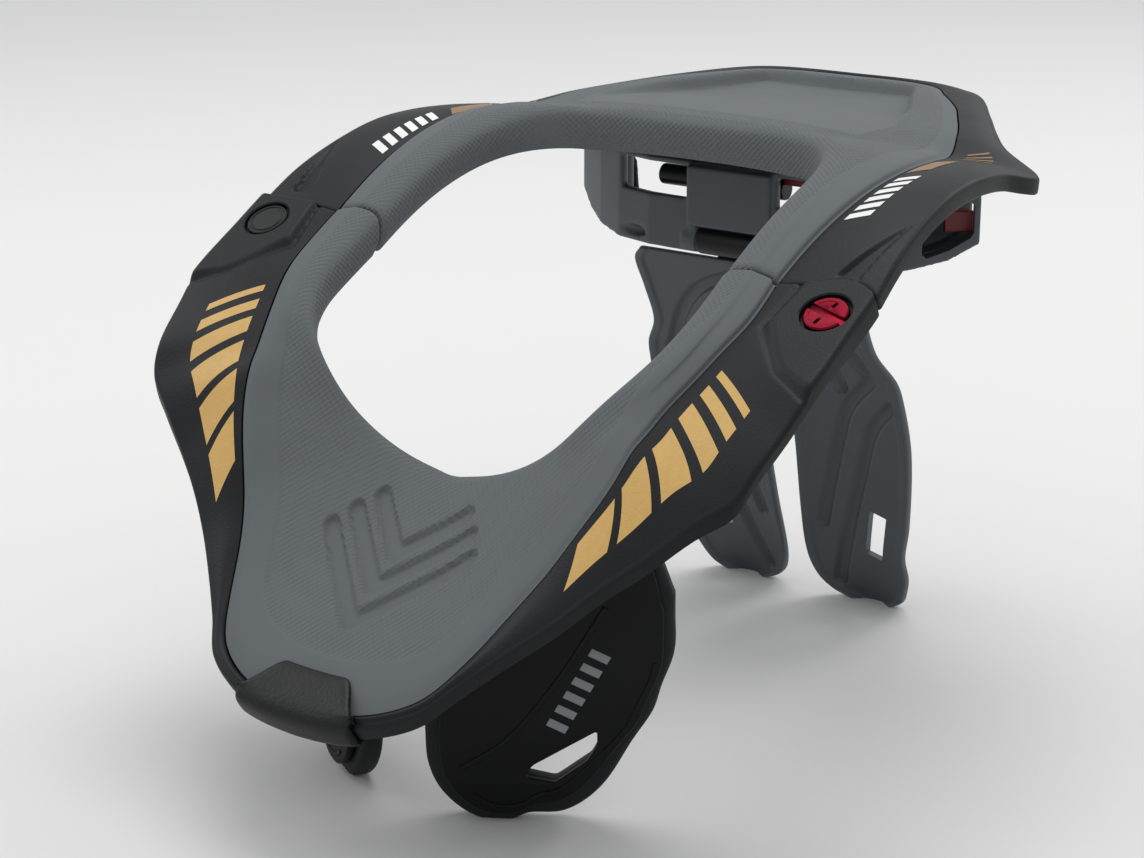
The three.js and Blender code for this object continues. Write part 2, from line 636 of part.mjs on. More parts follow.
// Carrier under the rear half: rows from the middle outwards. out is a share of its half width, back of
// its sweep, low and high of its height, deep of its depth and lip the rear wall's share of the height.
const CARRIER_ROWS = rowsOf(['out', 'back', 'low', 'high', 'deep', 'lip'], [
  [0, 0, 0, 1, 0.4, 0.02],
  [0.42, 0.05, 0, 1, 0.4, 0.02],
  [0.62, 0.22, 0, 0.98, 0.6, 0.15],
  [0.78, 0.48, 0.06, 0.95, 0.85, 0.3],
  [0.9, 0.76, 0.16, 0.92, 1, 0.42],
  [1, 1, 0.34, 0.86, 1, 0.36],
]);
const CARRIER_FRONT = HINGE_OFFSET - BARREL_RADIUS + 1;
const CARRIER_BASE = HINGE_HEIGHT - BARREL_RADIUS + 1;
const CARRIER_BOSS_RADIUS = 6;
const CARRIER_BOSS_ROW = { out: 0.7, back: 0.36 };

function carrierPoint(row) {
  return new THREE.Vector3(
    row.out * CARRIER_HALF_WIDTH, CARRIER_FRONT + row.back * CARRIER_SWEEP, CARRIER_BASE);
}

// A channel swept round the back of the neck: front wall, floor and a low rear wall.
function carrierBand() {
  const half = CARRIER_ROWS.map((row) => ({ point: carrierPoint(row), row }));
  const left = half.slice(1).reverse().map(({ point, row }) => ({
    point: new THREE.Vector3(-point.x, point.y, point.z), row,
  }));
  const all = [...left, ...half];
  const wall = CARRIER_THICKNESS;
  const flats = all.map(({ row }) => {
    const [low, high] = [row.low * CARRIER_HEIGHT, row.high * CARRIER_HEIGHT];
    const deep = row.deep * CARRIER_DEPTH;
    const lip = low + wall + row.lip * CARRIER_HEIGHT;
    return [
      [0, low], [0, high], [wall, high], [wall, low + wall],
      [deep - wall * 0.7, low + wall], [deep - wall * 0.7, lip], [deep, lip], [deep, low],
    ].map(([a, h]) => new THREE.Vector2(a, h));
  });
  const outlines = all.map(({ point }, i) => {
    const before = all[Math.max(i - 1, 0)].point;
    const after = all[Math.min(i + 1, all.length - 1)].point;
    const along = after.clone().sub(before).normalize();
    const back = new THREE.Vector3(-along.y, along.x, 0);
    return flats[i].map((p) => point.clone().addScaledVector(back, p.x).addScaledVector(up, p.y));
  });
  return solid(loft(outlines, [flats[0], flats[flats.length - 1]]));
}

function alongX(radius, from, to, segments = 24) {
  return new THREE.CylinderGeometry(radius, radius, to - from, segments)
    .rotateZ(Math.PI / 2)
    .translate((from + to) / 2, HINGE_OFFSET, HINGE_HEIGHT);
}

// Lower edge of the block in the middle of the carrier, just above the hinge barrel.
const BLOCK_LOW = HINGE_HEIGHT + BARREL_RADIUS + 1.2;
const KNUCKLE_FROM = BARREL_HALF_LENGTH + FIT_GAP;
const WINDOW_FROM = BLOCK_HALF_WIDTH + 1.5;
const WINDOW_TOP = CARRIER_BASE + 0.93 * CARRIER_HEIGHT;

function span(side, from, to) {
  return side > 0 ? [from, to] : [-to, -from];
}

function carrierBoss(roof, side) {
  const at = carrierPoint(CARRIER_BOSS_ROW);
  const x = side * at.x;
  const y = at.y + CARRIER_THICKNESS + 0.6 * CARRIER_BOSS_RADIUS;
  const angles = Array.from({ length: 8 }, (_, step) => (step * Math.PI) / 4);
  const top = Math.min(...angles.map((angle) => undersideAt(
    roof, x + CARRIER_BOSS_RADIUS * Math.cos(angle), y + CARRIER_BOSS_RADIUS * Math.sin(angle)))) - FIT_GAP;
  const foot = CARRIER_BASE + 0.3 * CARRIER_HEIGHT;
  return new THREE.CylinderGeometry(CARRIER_BOSS_RADIUS, CARRIER_BOSS_RADIUS, top - foot, 20)
    .rotateX(Math.PI / 2)
    .translate(x, y, (top + foot) / 2);
}

function carrier(roof) {
  const block = boxBetween(
    new THREE.Vector3(-BLOCK_HALF_WIDTH, CARRIER_FRONT - BLOCK_DEPTH + CARRIER_THICKNESS, BLOCK_LOW),
    new THREE.Vector3(BLOCK_HALF_WIDTH, CARRIER_FRONT + 1, CARRIER_BASE + 0.96 * CARRIER_HEIGHT));
  let body = carrierBand().add(solid(block));
  for (const side of [1, -1]) {
    const [knuckleLow, knuckleHigh] = span(side, KNUCKLE_FROM, KNUCKLE_FROM + KNUCKLE_LENGTH);
    const [windowLow, windowHigh] = span(side, WINDOW_FROM, WINDOW_FROM + WINDOW_WIDTH);
    const window = boxBetween(
      new THREE.Vector3(windowLow, CARRIER_FRONT - CARRIER_SWEEP, WINDOW_TOP - WINDOW_HEIGHT),
      new THREE.Vector3(windowHigh, CARRIER_FRONT + CARRIER_SWEEP, WINDOW_TOP));
    body = body.add(solid(alongX(BARREL_RADIUS - 0.4, knuckleLow, knuckleHigh)))
      .subtract(solid(window))
      .add(solid(carrierBoss(roof, side)));
  }
  const hingeRoom = boxBetween(
    new THREE.Vector3(-KNUCKLE_FROM, CARRIER_FRONT - CARRIER_SWEEP, CARRIER_BASE - CARRIER_HEIGHT),
    new THREE.Vector3(KNUCKLE_FROM, CARRIER_FRONT + CARRIER_SWEEP, BLOCK_LOW));
  body = body.subtract(solid(hingeRoom));
  return geometryOf(body.subtract(solid(alongX(PIN_RADIUS + FIT_GAP, -REACH, REACH, 16))));
}

// Adjuster seen through the windows: a black rod end on one side and a red slider on the other.
const ROD_FRONT = CARRIER_FRONT + 0.09 * CARRIER_SWEEP + CARRIER_THICKNESS + FIT_GAP;

function adjusterRod() {
  const y = ROD_FRONT + ROD_RADIUS;
  const z = WINDOW_TOP - WINDOW_HEIGHT / 2;
  const length = WINDOW_FROM + ROD_END + BLOCK_HALF_WIDTH;
  return new THREE.CylinderGeometry(ROD_RADIUS, ROD_RADIUS, length, 28)
    .rotateZ(Math.PI / 2)
    .translate(BLOCK_HALF_WIDTH - length / 2, y, z);
}

function adjusterSlider() {
  const y = ROD_FRONT + FIT_GAP;
  const [low, high] = [WINDOW_FROM + 0.35 * WINDOW_WIDTH, WINDOW_FROM + 0.62 * WINDOW_WIDTH];
  const bar = boxBetween(
    new THREE.Vector3(BLOCK_HALF_WIDTH + FIT_GAP, y, WINDOW_TOP - 0.3 * WINDOW_HEIGHT),
    new THREE.Vector3(high, y + ROD_RADIUS, WINDOW_TOP + 1));
  const leg = boxBetween(
    new THREE.Vector3(low, y, WINDOW_TOP - WINDOW_HEIGHT - 1),
    new THREE.Vector3(high, y + ROD_RADIUS, WINDOW_TOP));
  return geometryOf(solid(bar).add(solid(leg)));
}

// Red clip that sits in the open end of the carrier's channel, against its front wall.
const CLIP_ROW = { out: 0.94, back: 0.86 };
const CLIP_FLOOR = 0.42;

function carrierClip(side) {
  const [before, after] = CARRIER_ROWS.slice(-2).map(carrierPoint);
  const along = after.sub(before).normalize();
  const back = new THREE.Vector3(-along.y, along.x, 0);
  const at = carrierPoint(CLIP_ROW).addScaledVector(back, CARRIER_THICKNESS + FIT_GAP + CLIP_THICKNESS);
  const low = CARRIER_BASE + CLIP_FLOOR * CARRIER_HEIGHT + FIT_GAP;
  return new THREE.BoxGeometry(CLIP_LENGTH, CLIP_THICKNESS, CLIP_HEIGHT)
    .rotateZ(side * Math.atan2(along.y, along.x))
    .translate(side * at.x, at.y, low + CLIP_HEIGHT / 2);
}

// Strut rows from the top down: heights and ways back as shares of the hinge height and the lean,
// edges as shares of the strut's half width.
const STRUT_ROWS = rowsOf(['height', 'back', 'inner', 'outer'], [
  [1.0, 0.02, 0, 0.8],
  [0.965, 0.06, 0, 0.87],
  [0.88, 0.16, 0, 0.86],
  [0.78, 0.29, 0, 0.87],
  [0.7, 0.39, 0, 0.98],
]);
const LEG_ROWS = rowsOf(['height', 'back', 'inner', 'outer'], [
  [0.73, 0.35, 0.12, 0.94],
  [0.64, 0.45, 0.12, 1.0],
  [0.5, 0.56, 0.12, 1.01],
  [0.28, 0.71, 0.1, 0.94],
  [0.17, 0.8, 0.09, 0.87],
  [0.11, 0.86, 0.1, 0.87],
  [0.06, 0.92, 0.14, 0.83],
  [0.024, 0.97, 0.22, 0.78],
  [0, 1.0, 0.36, 0.68],
]);
const STRUT_CURL = 5;
const TAB_ROWS = 3;

function strutTop() {
  return HINGE_HEIGHT - BARREL_RADIUS - STRUT_TOP_GAP;
}

// Level outline of the plate between two edges, bowed back in the middle of each leg.
function strutOutline(row, inner, outer) {
  const z = row.height * strutTop();
  const y = HINGE_OFFSET + STRUT_SETBACK + row.back * STRUT_LEAN;
  const steps = [0, 0.25, 0.5, 0.75, 1];
  const bow = (share) => -STRUT_CURL * (2 * share - 1) ** 2 * (1 - row.height);
  const faces = steps.map((share) => [inner + share * (outer - inner), y + bow(share)]);
  const front = faces.map(([x, yy]) => new THREE.Vector3(x, yy, z));
  const rear = faces.map(([x, yy]) => new THREE.Vector3(x, yy + STRUT_THICKNESS, z)).reverse();
  return [...front, ...rear];
}

function strutLoft(rows, innerOf, outerOf) {
  const outlines = rows.map((row) => strutOutline(row, innerOf(row), outerOf(row)));
  const ends = [outlines[0], outlines[outlines.length - 1]]
    .map((outline) => outline.map((point) => new THREE.Vector2(point.x, point.y)));
  return solid(loft(outlines, ends));
}

function strutEdge(share) {
  return share * STRUT_HALF_WIDTH;
}

function strut() {
  let body = strutLoft(STRUT_ROWS, (row) => -strutEdge(row.outer), (row) => strutEdge(row.outer));
  for (const side of [1, -1]) {
    const leg = strutLoft(
      LEG_ROWS, (row) => side * strutEdge(row.inner), (row) => side * strutEdge(row.outer));
    const slot = new THREE.BoxGeometry(STRUT_SLOT_WIDTH, REACH, STRUT_SLOT_HEIGHT)
      .rotateY(side * 0.24)
      .translate(side * 0.655 * STRUT_HALF_WIDTH, HINGE_OFFSET, 0.225 * strutTop());
    body = body.add(leg).subtract(solid(slot));
  }
  return geometryOf(body);
}

// Barrel of the strut's hinge, with a tab that runs down behind the strut.
function strutBarrel() {
  const web = BARREL_RADIUS / 2;
  const rearFace = STRUT_ROWS.slice(0, TAB_ROWS).map((row) => new THREE.Vector2(
    HINGE_OFFSET + STRUT_SETBACK + row.back * STRUT_LEAN + STRUT_THICKNESS + FIT_GAP,
    row.height * strutTop()));
  const topFace = HINGE_HEIGHT + web / 3;
  const profile = [
    new THREE.Vector2(HINGE_OFFSET, topFace),
    new THREE.Vector2(HINGE_OFFSET, topFace - web),
    new THREE.Vector2(rearFace[0].x, topFace - web),
    ...rearFace,
    ...rearFace.map((point) => new THREE.Vector2(point.x + web, point.y)).reverse(),
    new THREE.Vector2(rearFace[0].x + web, topFace),
  ];
  const half = BARREL_HALF_LENGTH - 2;
  const tab = plateFrom(profile, -half, half)
    .applyMatrix4(new THREE.Matrix4().makeBasis(
      new THREE.Vector3(0, 1, 0), up, new THREE.Vector3(1, 0, 0)));
  const body = solid(alongX(BARREL_RADIUS, -BARREL_HALF_LENGTH, BARREL_HALF_LENGTH, 32)).add(solid(tab));
  return geometryOf(body.subtract(solid(alongX(PIN_RADIUS + FIT_GAP, -REACH, REACH, 16))));
}

function hingePin() {
  const half = BARREL_HALF_LENGTH + FIT_GAP + KNUCKLE_LENGTH;
  return alongX(PIN_RADIUS, -half, half, 16);
}

const brace = new THREE.Group();

function addPart(name, geometry, finish) {
  const part = new THREE.Mesh(geometry, new THREE.MeshStandardMaterial(COLOURS[finish]));
  part.name = name;
  brace.add(part);
  return part;
}

const RING_STEPS = 44;
const front = frontSections(RING_STEPS);
const rear = rearSections(RING_STEPS);
const frontRoof = [
  addPart('front_shell', frontShell(front), 'shell'),
  addPart('front_pad', pad(front, -REACH, SPLIT_OFFSET - SPLIT_GAP), 'foam'),
];
const rearRoof = [
  addPart('rear_shell', rearShell(rear), 'shell'),
  addPart('rear_pad', pad(rear, SPLIT_OFFSET + SPLIT_GAP, REACH), 'foam'),
];
addPart('nose_latch', geometryOf(noseLatch(front)), 'latch');
addPart('pivot_screw', pivotScrew(), 'screw');
addPart('pivot_plug', pivotPlug(), 'barrel');
for (const [name, side] of [['left', 1], ['right', -1]]) {
  addPart(`chest_wing_${name}`, wingBody(frontRoof, side, WING_MARGIN, 0, WING_THICKNESS, 0), 'panel');
  addPart(`chest_wing_pad_${name}`,
    wingBody(frontRoof, side, 0, -FIT_GAP - WING_PAD_THICKNESS, -FIT_GAP, 1), 'rubber');
  addPart(`carrier_clip_${name}`, carrierClip(side), 'clip');
}
addPart('rear_carrier', carrier(rearRoof), 'nylon');
addPart('adjuster_rod', adjusterRod(), 'barrel');
addPart('adjuster_slider', adjusterSlider(), 'clip');
addPart('strut_barrel', strutBarrel(), 'barrel');
addPart('hinge_pin', hingePin(), 'pin');
addPart('strut', strut(), 'nylon');

// The finished brace stands on Z = 0 with its box centred on the origin.
const box = new THREE.Box3().setFromObject(brace);
const centre = box.getCenter(new THREE.Vector3());
brace.position.set(-centre.x, -centre.y, -box.min.z);

export default brace;
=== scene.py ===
"""Looks of a motocross neck brace: moulded shells, foam pads, chest wings and a folding back strut.

Sizes are millimetres in the frame that the brace is built in, where Y = 0 is at the pivots. Meshes are
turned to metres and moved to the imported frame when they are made.
"""

import logging
import math
from dataclasses import dataclass, field
from enum import Enum
from typing import Callable

import bmesh
import bpy
import numpy as np
from mathutils import Matrix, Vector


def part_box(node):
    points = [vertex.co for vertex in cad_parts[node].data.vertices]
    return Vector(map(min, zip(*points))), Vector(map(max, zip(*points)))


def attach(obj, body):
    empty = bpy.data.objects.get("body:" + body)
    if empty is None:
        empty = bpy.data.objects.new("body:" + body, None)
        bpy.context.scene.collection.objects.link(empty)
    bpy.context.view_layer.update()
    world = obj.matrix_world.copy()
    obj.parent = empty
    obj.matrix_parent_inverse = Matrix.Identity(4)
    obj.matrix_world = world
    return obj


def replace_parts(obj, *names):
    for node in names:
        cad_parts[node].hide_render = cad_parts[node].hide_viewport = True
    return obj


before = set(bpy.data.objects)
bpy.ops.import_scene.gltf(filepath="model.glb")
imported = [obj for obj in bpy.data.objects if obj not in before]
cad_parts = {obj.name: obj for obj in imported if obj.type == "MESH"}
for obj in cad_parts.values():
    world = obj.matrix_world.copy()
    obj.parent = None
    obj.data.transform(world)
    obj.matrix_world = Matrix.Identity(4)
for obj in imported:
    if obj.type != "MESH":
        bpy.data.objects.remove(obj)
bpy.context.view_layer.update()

MM = 0.001
SAMPLES = 2601
TURN_STEPS = 96
Points = np.ndarray
Line = list[tuple[float, float]]
Spot = tuple[float, float, float]
Socket = bpy.types.NodeSocket
log = logging.getLogger("neck_brace")

HINGE_OFFSET = 148.0
SHIFT_Y = (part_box("hinge_pin")[0][1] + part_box("hinge_pin")[1][1]) / 2 / MM - HINGE_OFFSET


class Side(Enum):
    """Side of the wearer."""

    LEFT = 1
    RIGHT = -1


# Small tools for curves, grids and meshes.


def linear(hex_colour: str) -> tuple[float, float, float, float]:
    """Turn an sRGB hex colour to linear RGBA.

    Args:
        hex_colour: Six hex digits after a hash.

    Returns:
        Linear red, green, blue and an alpha of one.
    """
    channels = [int(hex_colour[i:i + 2], 16) / 255 for i in (1, 3, 5)]
    bent = [c / 12.92 if c <= 0.04045 else ((c + 0.055) / 1.055) ** 2.4 for c in channels]
    return (bent[0], bent[1], bent[2], 1.0)


def smooth_step(low: float, high: float, value: Points) -> Points:
    """Return a soft step from 0 at low to 1 at high."""
    share = np.clip((value - low) / (high - low), 0, 1)
    return share * share * (3 - 2 * share)


def line_distance(where: Points, line: Line) -> Points:
    """Distance from points to a line of straight stretches.

    Args:
        where: Points, with their two coordinates last.
        line: Corners of the line.

    Returns:
        One distance for each point.
    """
    best = np.full(where.shape[:-1], np.inf)
    corners = np.array(line, float)
    for start, end in zip(corners[:-1], corners[1:]):
        run = end - start
        share = np.clip(((where - start) @ run) / (run @ run), 0, 1)
        best = np.minimum(best, np.linalg.norm(where - start - share[..., None] * run, axis=-1))
    return best


def depth_inside(where: Points, outline: Line) -> Points:
    """Distance from points to an outline, positive inside it.

    Args:
        where: Points, with their two coordinates last.
        outline: Corners of a closed outline.

    Returns:
        One signed distance for each point.
    """
    corners = np.array(outline, float)
    inside = np.zeros(where.shape[:-1], bool)
    x, y = where[..., 0], where[..., 1]
    for (ax, ay), (bx, by) in zip(corners, np.roll(corners, -1, axis=0)):
        if ay == by:
            continue
        crosses = (ay > y) != (by > y)
        inside ^= crosses & (x < (bx - ax) * (y - ay) / (by - ay) + ax)
    distance = line_distance(where, [*outline, outline[0]])
    return np.where(inside, distance, -distance)


def through(points: Points, where: Points, even: bool = False, keys: Points | None = None) -> Points:
    """Smooth curve through points.

    Args:
        points: Points that the curve passes, one row each.
        where: Places along the curve, from 0 to 1.
        even: Whether the points count as evenly spaced.
        keys: Points that set the spacing instead of the points themselves.

    Returns:
        One row for each place.
    """
    keys = points if keys is None else keys
    ends = [2 * points[0] - points[1], 2 * points[-1] - points[-2]]
    table = np.vstack([ends[0], points, ends[1]])
    key_table = np.vstack([2 * keys[0] - keys[1], keys, 2 * keys[-1] - keys[-2]])
    spot = np.asarray(where) * (len(points) - 1)
    cell = np.minimum(spot.astype(int), len(points) - 2)
    share = (spot - cell)[:, None]
    p0, p1, p2, p3 = (table[cell + i] for i in range(4))
    if even:
        t1, t2 = 0.5 * (p2 - p0), 0.5 * (p3 - p1)
    else:
        gaps = np.sqrt(np.linalg.norm(np.diff(key_table, axis=0), axis=1))
        gaps = np.maximum(gaps, 1e-4)
        d0, d1, d2 = (gaps[cell + i][:, None] for i in range(3))
        t1 = ((p1 - p0) / d0 - (p2 - p0) / (d0 + d1) + (p2 - p1) / d1) * d1
        t2 = ((p2 - p1) / d1 - (p3 - p1) / (d1 + d2) + (p3 - p2) / d2) * d1
    square, cube = share ** 2, share ** 3
    return p1 + t1 * share + (3 * (p2 - p1) - 2 * t1 - t2) * square + (2 * (p1 - p2) + t1 + t2) * cube


def softened(values: Points, spread: int = 55) -> Points:
    """Average a line of numbers with a bell curve that is a number of samples wide.

    Args:
        values: The numbers.
        spread: Width of the bell curve, in samples.

    Returns:
        As many smoothed numbers.
    """
    bell = np.exp(-0.5 * (np.arange(-3 * spread, 3 * spread + 1) / spread) ** 2)
    ends = np.pad(values, 3 * spread, mode="reflect", reflect_type="odd")
    return np.convolve(ends, bell / bell.sum(), mode="valid")


def to_frame(points: Points) -> Points:
    """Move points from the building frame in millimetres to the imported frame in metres."""
    return (np.asarray(points, float) + [0, SHIFT_Y, 0]) * MM


def grid_normals(grid: Points) -> Points:
    """Unit normals of a grid whose second direction is a closed loop.

    Args:
        grid: Points by row, by place in the loop.

    Returns:
        Normals in the same layout, pointing out of the body.
    """
    along = np.gradient(grid, axis=0)
    around = np.roll(grid, -1, axis=1) - np.roll(grid, 1, axis=1)
    normals = np.cross(along, around)
    normals /= np.maximum(np.linalg.norm(normals, axis=-1, keepdims=True), 1e-9)
    middle = grid[len(grid) // 2]
    outwards = middle - middle.mean(axis=0)
    sign = np.sign((outwards * normals[len(grid) // 2]).sum())
    return normals * sign


def end_steps(length: float, count: int, fine: tuple[float, ...]) -> Points:
    """Places along a line, close together near both ends.

    Args:
        length: Length of the line in millimetres.
        count: How many even places lie between the ends.
        fine: Distances from each end in millimetres.

    Returns:
        Places from 0 to 1.
    """
    near = np.array(fine) / length
    middle = np.linspace(near[-1], 1 - near[-1], count)
    return np.concatenate([near[:-1], middle, 1 - near[:-1][::-1]])


def rounded_ends(grid: Points, lengths: tuple[float, ...], radius: float) -> Points:
    """Round a body towards both of its ends.

    Args:
        grid: Points by row, by place in the loop.
        lengths: Distance of the first rows from the end.
        radius: Radius of the rounding.

    Returns:
        The grid with its first and last rows moved inwards.
    """
    normals = grid_normals(grid)
    result = grid.copy()
    for row, distance in enumerate(lengths):
        if distance < radius:
            inset = radius - math.sqrt(radius ** 2 - (radius - distance) ** 2)
            result[row] -= inset * normals[row]
            result[-1 - row] -= inset * normals[-1 - row]
    return result


def placed(mesh: bpy.types.Mesh, matrix: Matrix) -> bpy.types.Mesh:
    """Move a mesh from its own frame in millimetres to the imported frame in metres.

    Args:
        mesh: The mesh, which is changed.
        matrix: Its place in the building frame.

    Returns:
        The same mesh.
    """
    mesh.transform(matrix)
    mesh.transform(Matrix.Translation((0, SHIFT_Y, 0)))
    mesh.transform(Matrix.Scale(MM, 4))
    return mesh


def linked(name: str, data: bpy.types.ID) -> bpy.types.Object:
    """Put a mesh, curve, lamp or camera into the scene.

    Args:
        name: Name of the object.
        data: What the object shows.

    Returns:
        The new object.
    """
    thing = bpy.data.objects.new(name, data)
    bpy.context.scene.collection.objects.link(thing)
    return thing


class Maker:
    """Makes objects from points and gives them their finish and body."""

    @classmethod
    def mesh(
        cls, name: str, points: Points, faces: list[list[int]], finish: "Finish", body: str,
        channels: dict[str, Points] | None = None, sharp: float = 38.0,
    ) -> bpy.types.Object:
        """Make a mesh object.

        Args:
            name: Name of the piece.
            points: Corners in the building frame.
            faces: Faces as lists of corners.
            finish: Finish of the piece.
            body: Body that the piece rides on.
            channels: Numbers kept for each corner, by name.
            sharp: Edges over this angle in degrees stay sharp.

        Returns:
            The new object.
        """
        mesh = bpy.data.meshes.new(name)
        mesh.from_pydata(to_frame(points).tolist(), [], faces)
        for channel, values in (channels or {}).items():
            layer = mesh.attributes.new(channel, "FLOAT", "POINT")
            layer.data.foreach_set("value", np.asarray(values, np.float32).ravel())
        return cls.dress(linked(name, mesh), finish, body, sharp)

    @classmethod
    def dress(
        cls, piece: bpy.types.Object, finish: "Finish", body: str, sharp: float = 38.0,
    ) -> bpy.types.Object:
        """Give a piece its finish, its outward faces and its body.

        Args:
            piece: The piece.
            finish: Its finish.
            body: The body that it rides on.
            sharp: Edges over this angle in degrees stay sharp.

        Returns:
            The same piece.
        """
        work = bmesh.new()
        work.from_mesh(piece.data)
        bmesh.ops.recalc_face_normals(work, faces=work.faces)
        work.to_mesh(piece.data)
        work.free()
        piece.data.polygons.foreach_set("use_smooth", [True] * len(piece.data.polygons))
        piece.data.set_sharp_from_angle(angle=math.radians(sharp))
        piece.data.materials.clear()
        piece.data.materials.append(finish.material())
        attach(piece, body)
        log.info("%s: %d faces", piece.name, len(piece.data.polygons))
        return piece

    @classmethod
    def loft(
        cls, name: str, grid: Points, finish: "Finish", body: str, channels: dict[str, Points] | None = None,
    ) -> bpy.types.Object:
        """Make a closed body from loops of points.

        Args:
            name: Name of the piece.
            grid: Points by row, by place in the loop.
            finish: Finish of the piece.
            body: Body that the piece rides on.
            channels: Numbers kept for each point, by name.

        Returns:
            The new object.
        """
        rows, ring = grid.shape[:2]
        index = np.arange(rows * ring).reshape(rows, ring)
        turned = np.roll(index, -1, axis=1)
        quads = np.stack([index[:-1], turned[:-1], turned[1:], index[1:]], axis=-1).reshape(-1, 4)
        faces = [*quads.tolist(), index[0].tolist(), index[-1][::-1].tolist()]
        return cls.mesh(name, grid.reshape(-1, 3), faces, finish, body, channels)

    @classmethod
    def sheet(cls, name: str, grid: Points, finish: "Finish", body: str) -> bpy.types.Object:
        """Make a thin printed sheet from a grid of points.

        Args:
            name: Name of the piece.
            grid: Points by row and column.
            finish: Finish of the piece.
            body: Body that the piece rides on.

        Returns:
            The new object.
        """
        rows, columns = grid.shape[:2]
        index = np.arange(rows * columns).reshape(rows, columns)
        quads = np.stack([index[:-1, :-1], index[:-1, 1:], index[1:, 1:], index[1:, :-1]], axis=-1)
        return cls.mesh(name, grid.reshape(-1, 3), quads.reshape(-1, 4).tolist(), finish, body)

    @classmethod
    def moulding(
        cls, node: str, finish: "Finish", body: str, voxel: float, rounds: int,
    ) -> bpy.types.Object:
        """Make a moulded piece with soft edges from the solid of a CAD node.

        Args:
            node: The node that the piece stands for.
            finish: Finish of the piece.
            body: Body that the piece rides on.
            voxel: Size of the mesh in millimetres.
            rounds: How often its edges are relaxed.

        Returns:
            The new object.
        """
        piece = linked(f"{node}_moulded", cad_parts[node].data.copy())
        remesh = piece.modifiers.new("skin", "REMESH")
        remesh.mode = "VOXEL"
        remesh.voxel_size = voxel * MM
        relax = piece.modifiers.new("relax", "SMOOTH")
        relax.factor = 0.5
        relax.iterations = rounds
        cls.apply(piece)
        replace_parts(piece, node)
        return cls.dress(piece, finish, body, 60)

    @staticmethod
    def apply(piece: bpy.types.Object) -> None:
        """Apply all modifiers of a piece.

        Args:
            piece: The piece, which is changed.
        """
        depsgraph = bpy.context.evaluated_depsgraph_get()
        mesh = bpy.data.meshes.new_from_object(piece.evaluated_get(depsgraph))
        piece.modifiers.clear()
        piece.data = mesh

    @classmethod
    def plate(
        cls, name: str, outline: Points, holes: list[Points], low: float, high: float, edge: float,
        matrix: Matrix, finish: "Finish", body: str,
    ) -> bpy.types.Object:
        """Make a flat plate with rounded edges.

        Args:
            name: Name of the piece.
            outline: Outline in the plate's own plane.
            holes: Outlines of its holes.
            low: Height of its rear face.
            high: Height of its front face.
            edge: Radius of its edges.
            matrix: Place of the plate's plane in the building frame.
            finish: Finish of the piece.
            body: Body that the piece rides on.

        Returns:
            The new object.
        """
        curve = bpy.data.curves.new(name, "CURVE")
        curve.dimensions = "2D"
        curve.fill_mode = "BOTH"
        curve.extrude = (high - low) / 2 - edge
        curve.bevel_depth = edge
        curve.bevel_resolution = 3
        curve.offset = -edge
        for loop in [outline, *holes]:
            spline = curve.splines.new("POLY")
            spline.points.add(len(loop) - 1)
            for point, (x, y) in zip(spline.points, loop):
                point.co = (x, y, 0, 1)
            spline.use_cyclic_u = True
        drawn = linked(f"{name}_outline", curve)
        depsgraph = bpy.context.evaluated_depsgraph_get()
        mesh = bpy.data.meshes.new_from_object(drawn.evaluated_get(depsgraph))
        bpy.data.objects.remove(drawn)
        bpy.data.curves.remove(curve)
        mesh.transform(Matrix.Translation((0, 0, (low + high) / 2)))
        placed(mesh, matrix)
        work = bmesh.new()
        work.from_mesh(mesh)
        bmesh.ops.remove_doubles(work, verts=work.verts, dist=0.02 * MM)
        work.to_mesh(mesh)
        work.free()
        return cls.dress(linked(name, mesh), finish, body, 34)

    @classmethod
    def cut(cls, piece: bpy.types.Object, cutter: bpy.types.Object) -> None:
        """Cut one piece with another, which is used up.

        Args:
            piece: The piece that stays.
            cutter: The piece that is taken away.
        """
        knife = piece.modifiers.new("cut", "BOOLEAN")
        knife.operation = "DIFFERENCE"
        knife.solver = "EXACT"
        knife.object = cutter
        cls.apply(piece)
        bpy.data.objects.remove(cutter)


def turned(name: str, profile: Line, matrix: Matrix) -> bpy.types.Object:
    """Make a bare turned body.

    Args:
        name: Name of the body.
        profile: Radius and height of its corners, from the axis to the axis.
        matrix: Place of the turning axis in the building frame.

    Returns:
        The new object, without finish or body.
    """
    mesh = bpy.data.meshes.new(name)
    work = bmesh.new()
    corners = [work.verts.new((r, 0, z)) for r, z in profile]
    edges = [work.edges.new(pair) for pair in zip(corners[:-1], corners[1:])]
    bmesh.ops.spin(
        work, geom=[*corners, *edges], cent=(0, 0, 0), axis=(0, 0, 1), angle=2 * math.pi,
        steps=TURN_STEPS, use_merge=True, use_duplicate=False)
    bmesh.ops.remove_doubles(work, verts=work.verts, dist=1e-4)
    bmesh.ops.recalc_face_normals(work, faces=work.faces)
    work.to_mesh(mesh)
    work.free()
    return linked(name, placed(mesh, matrix))


def block(name: str, low: Spot, high: Spot, matrix: Matrix) -> bpy.types.Object:
    """Make a bare block between two corners.

    Args:
        name: Name of the block.
        low: Lowest corner in its own frame.
        high: Highest corner in its own frame.
        matrix: Its place in the building frame.

    Returns:
        The new object, without finish or body.
    """
    mesh = bpy.data.meshes.new(name)
    work = bmesh.new()
    bmesh.ops.create_cube(work, size=1)
    for vertex in work.verts:
        vertex.co = [lo + (c + 0.5) * (hi - lo) for c, lo, hi in zip(vertex.co, low, high)]
    work.to_mesh(mesh)
    work.free()
    return linked(name, placed(mesh, matrix))


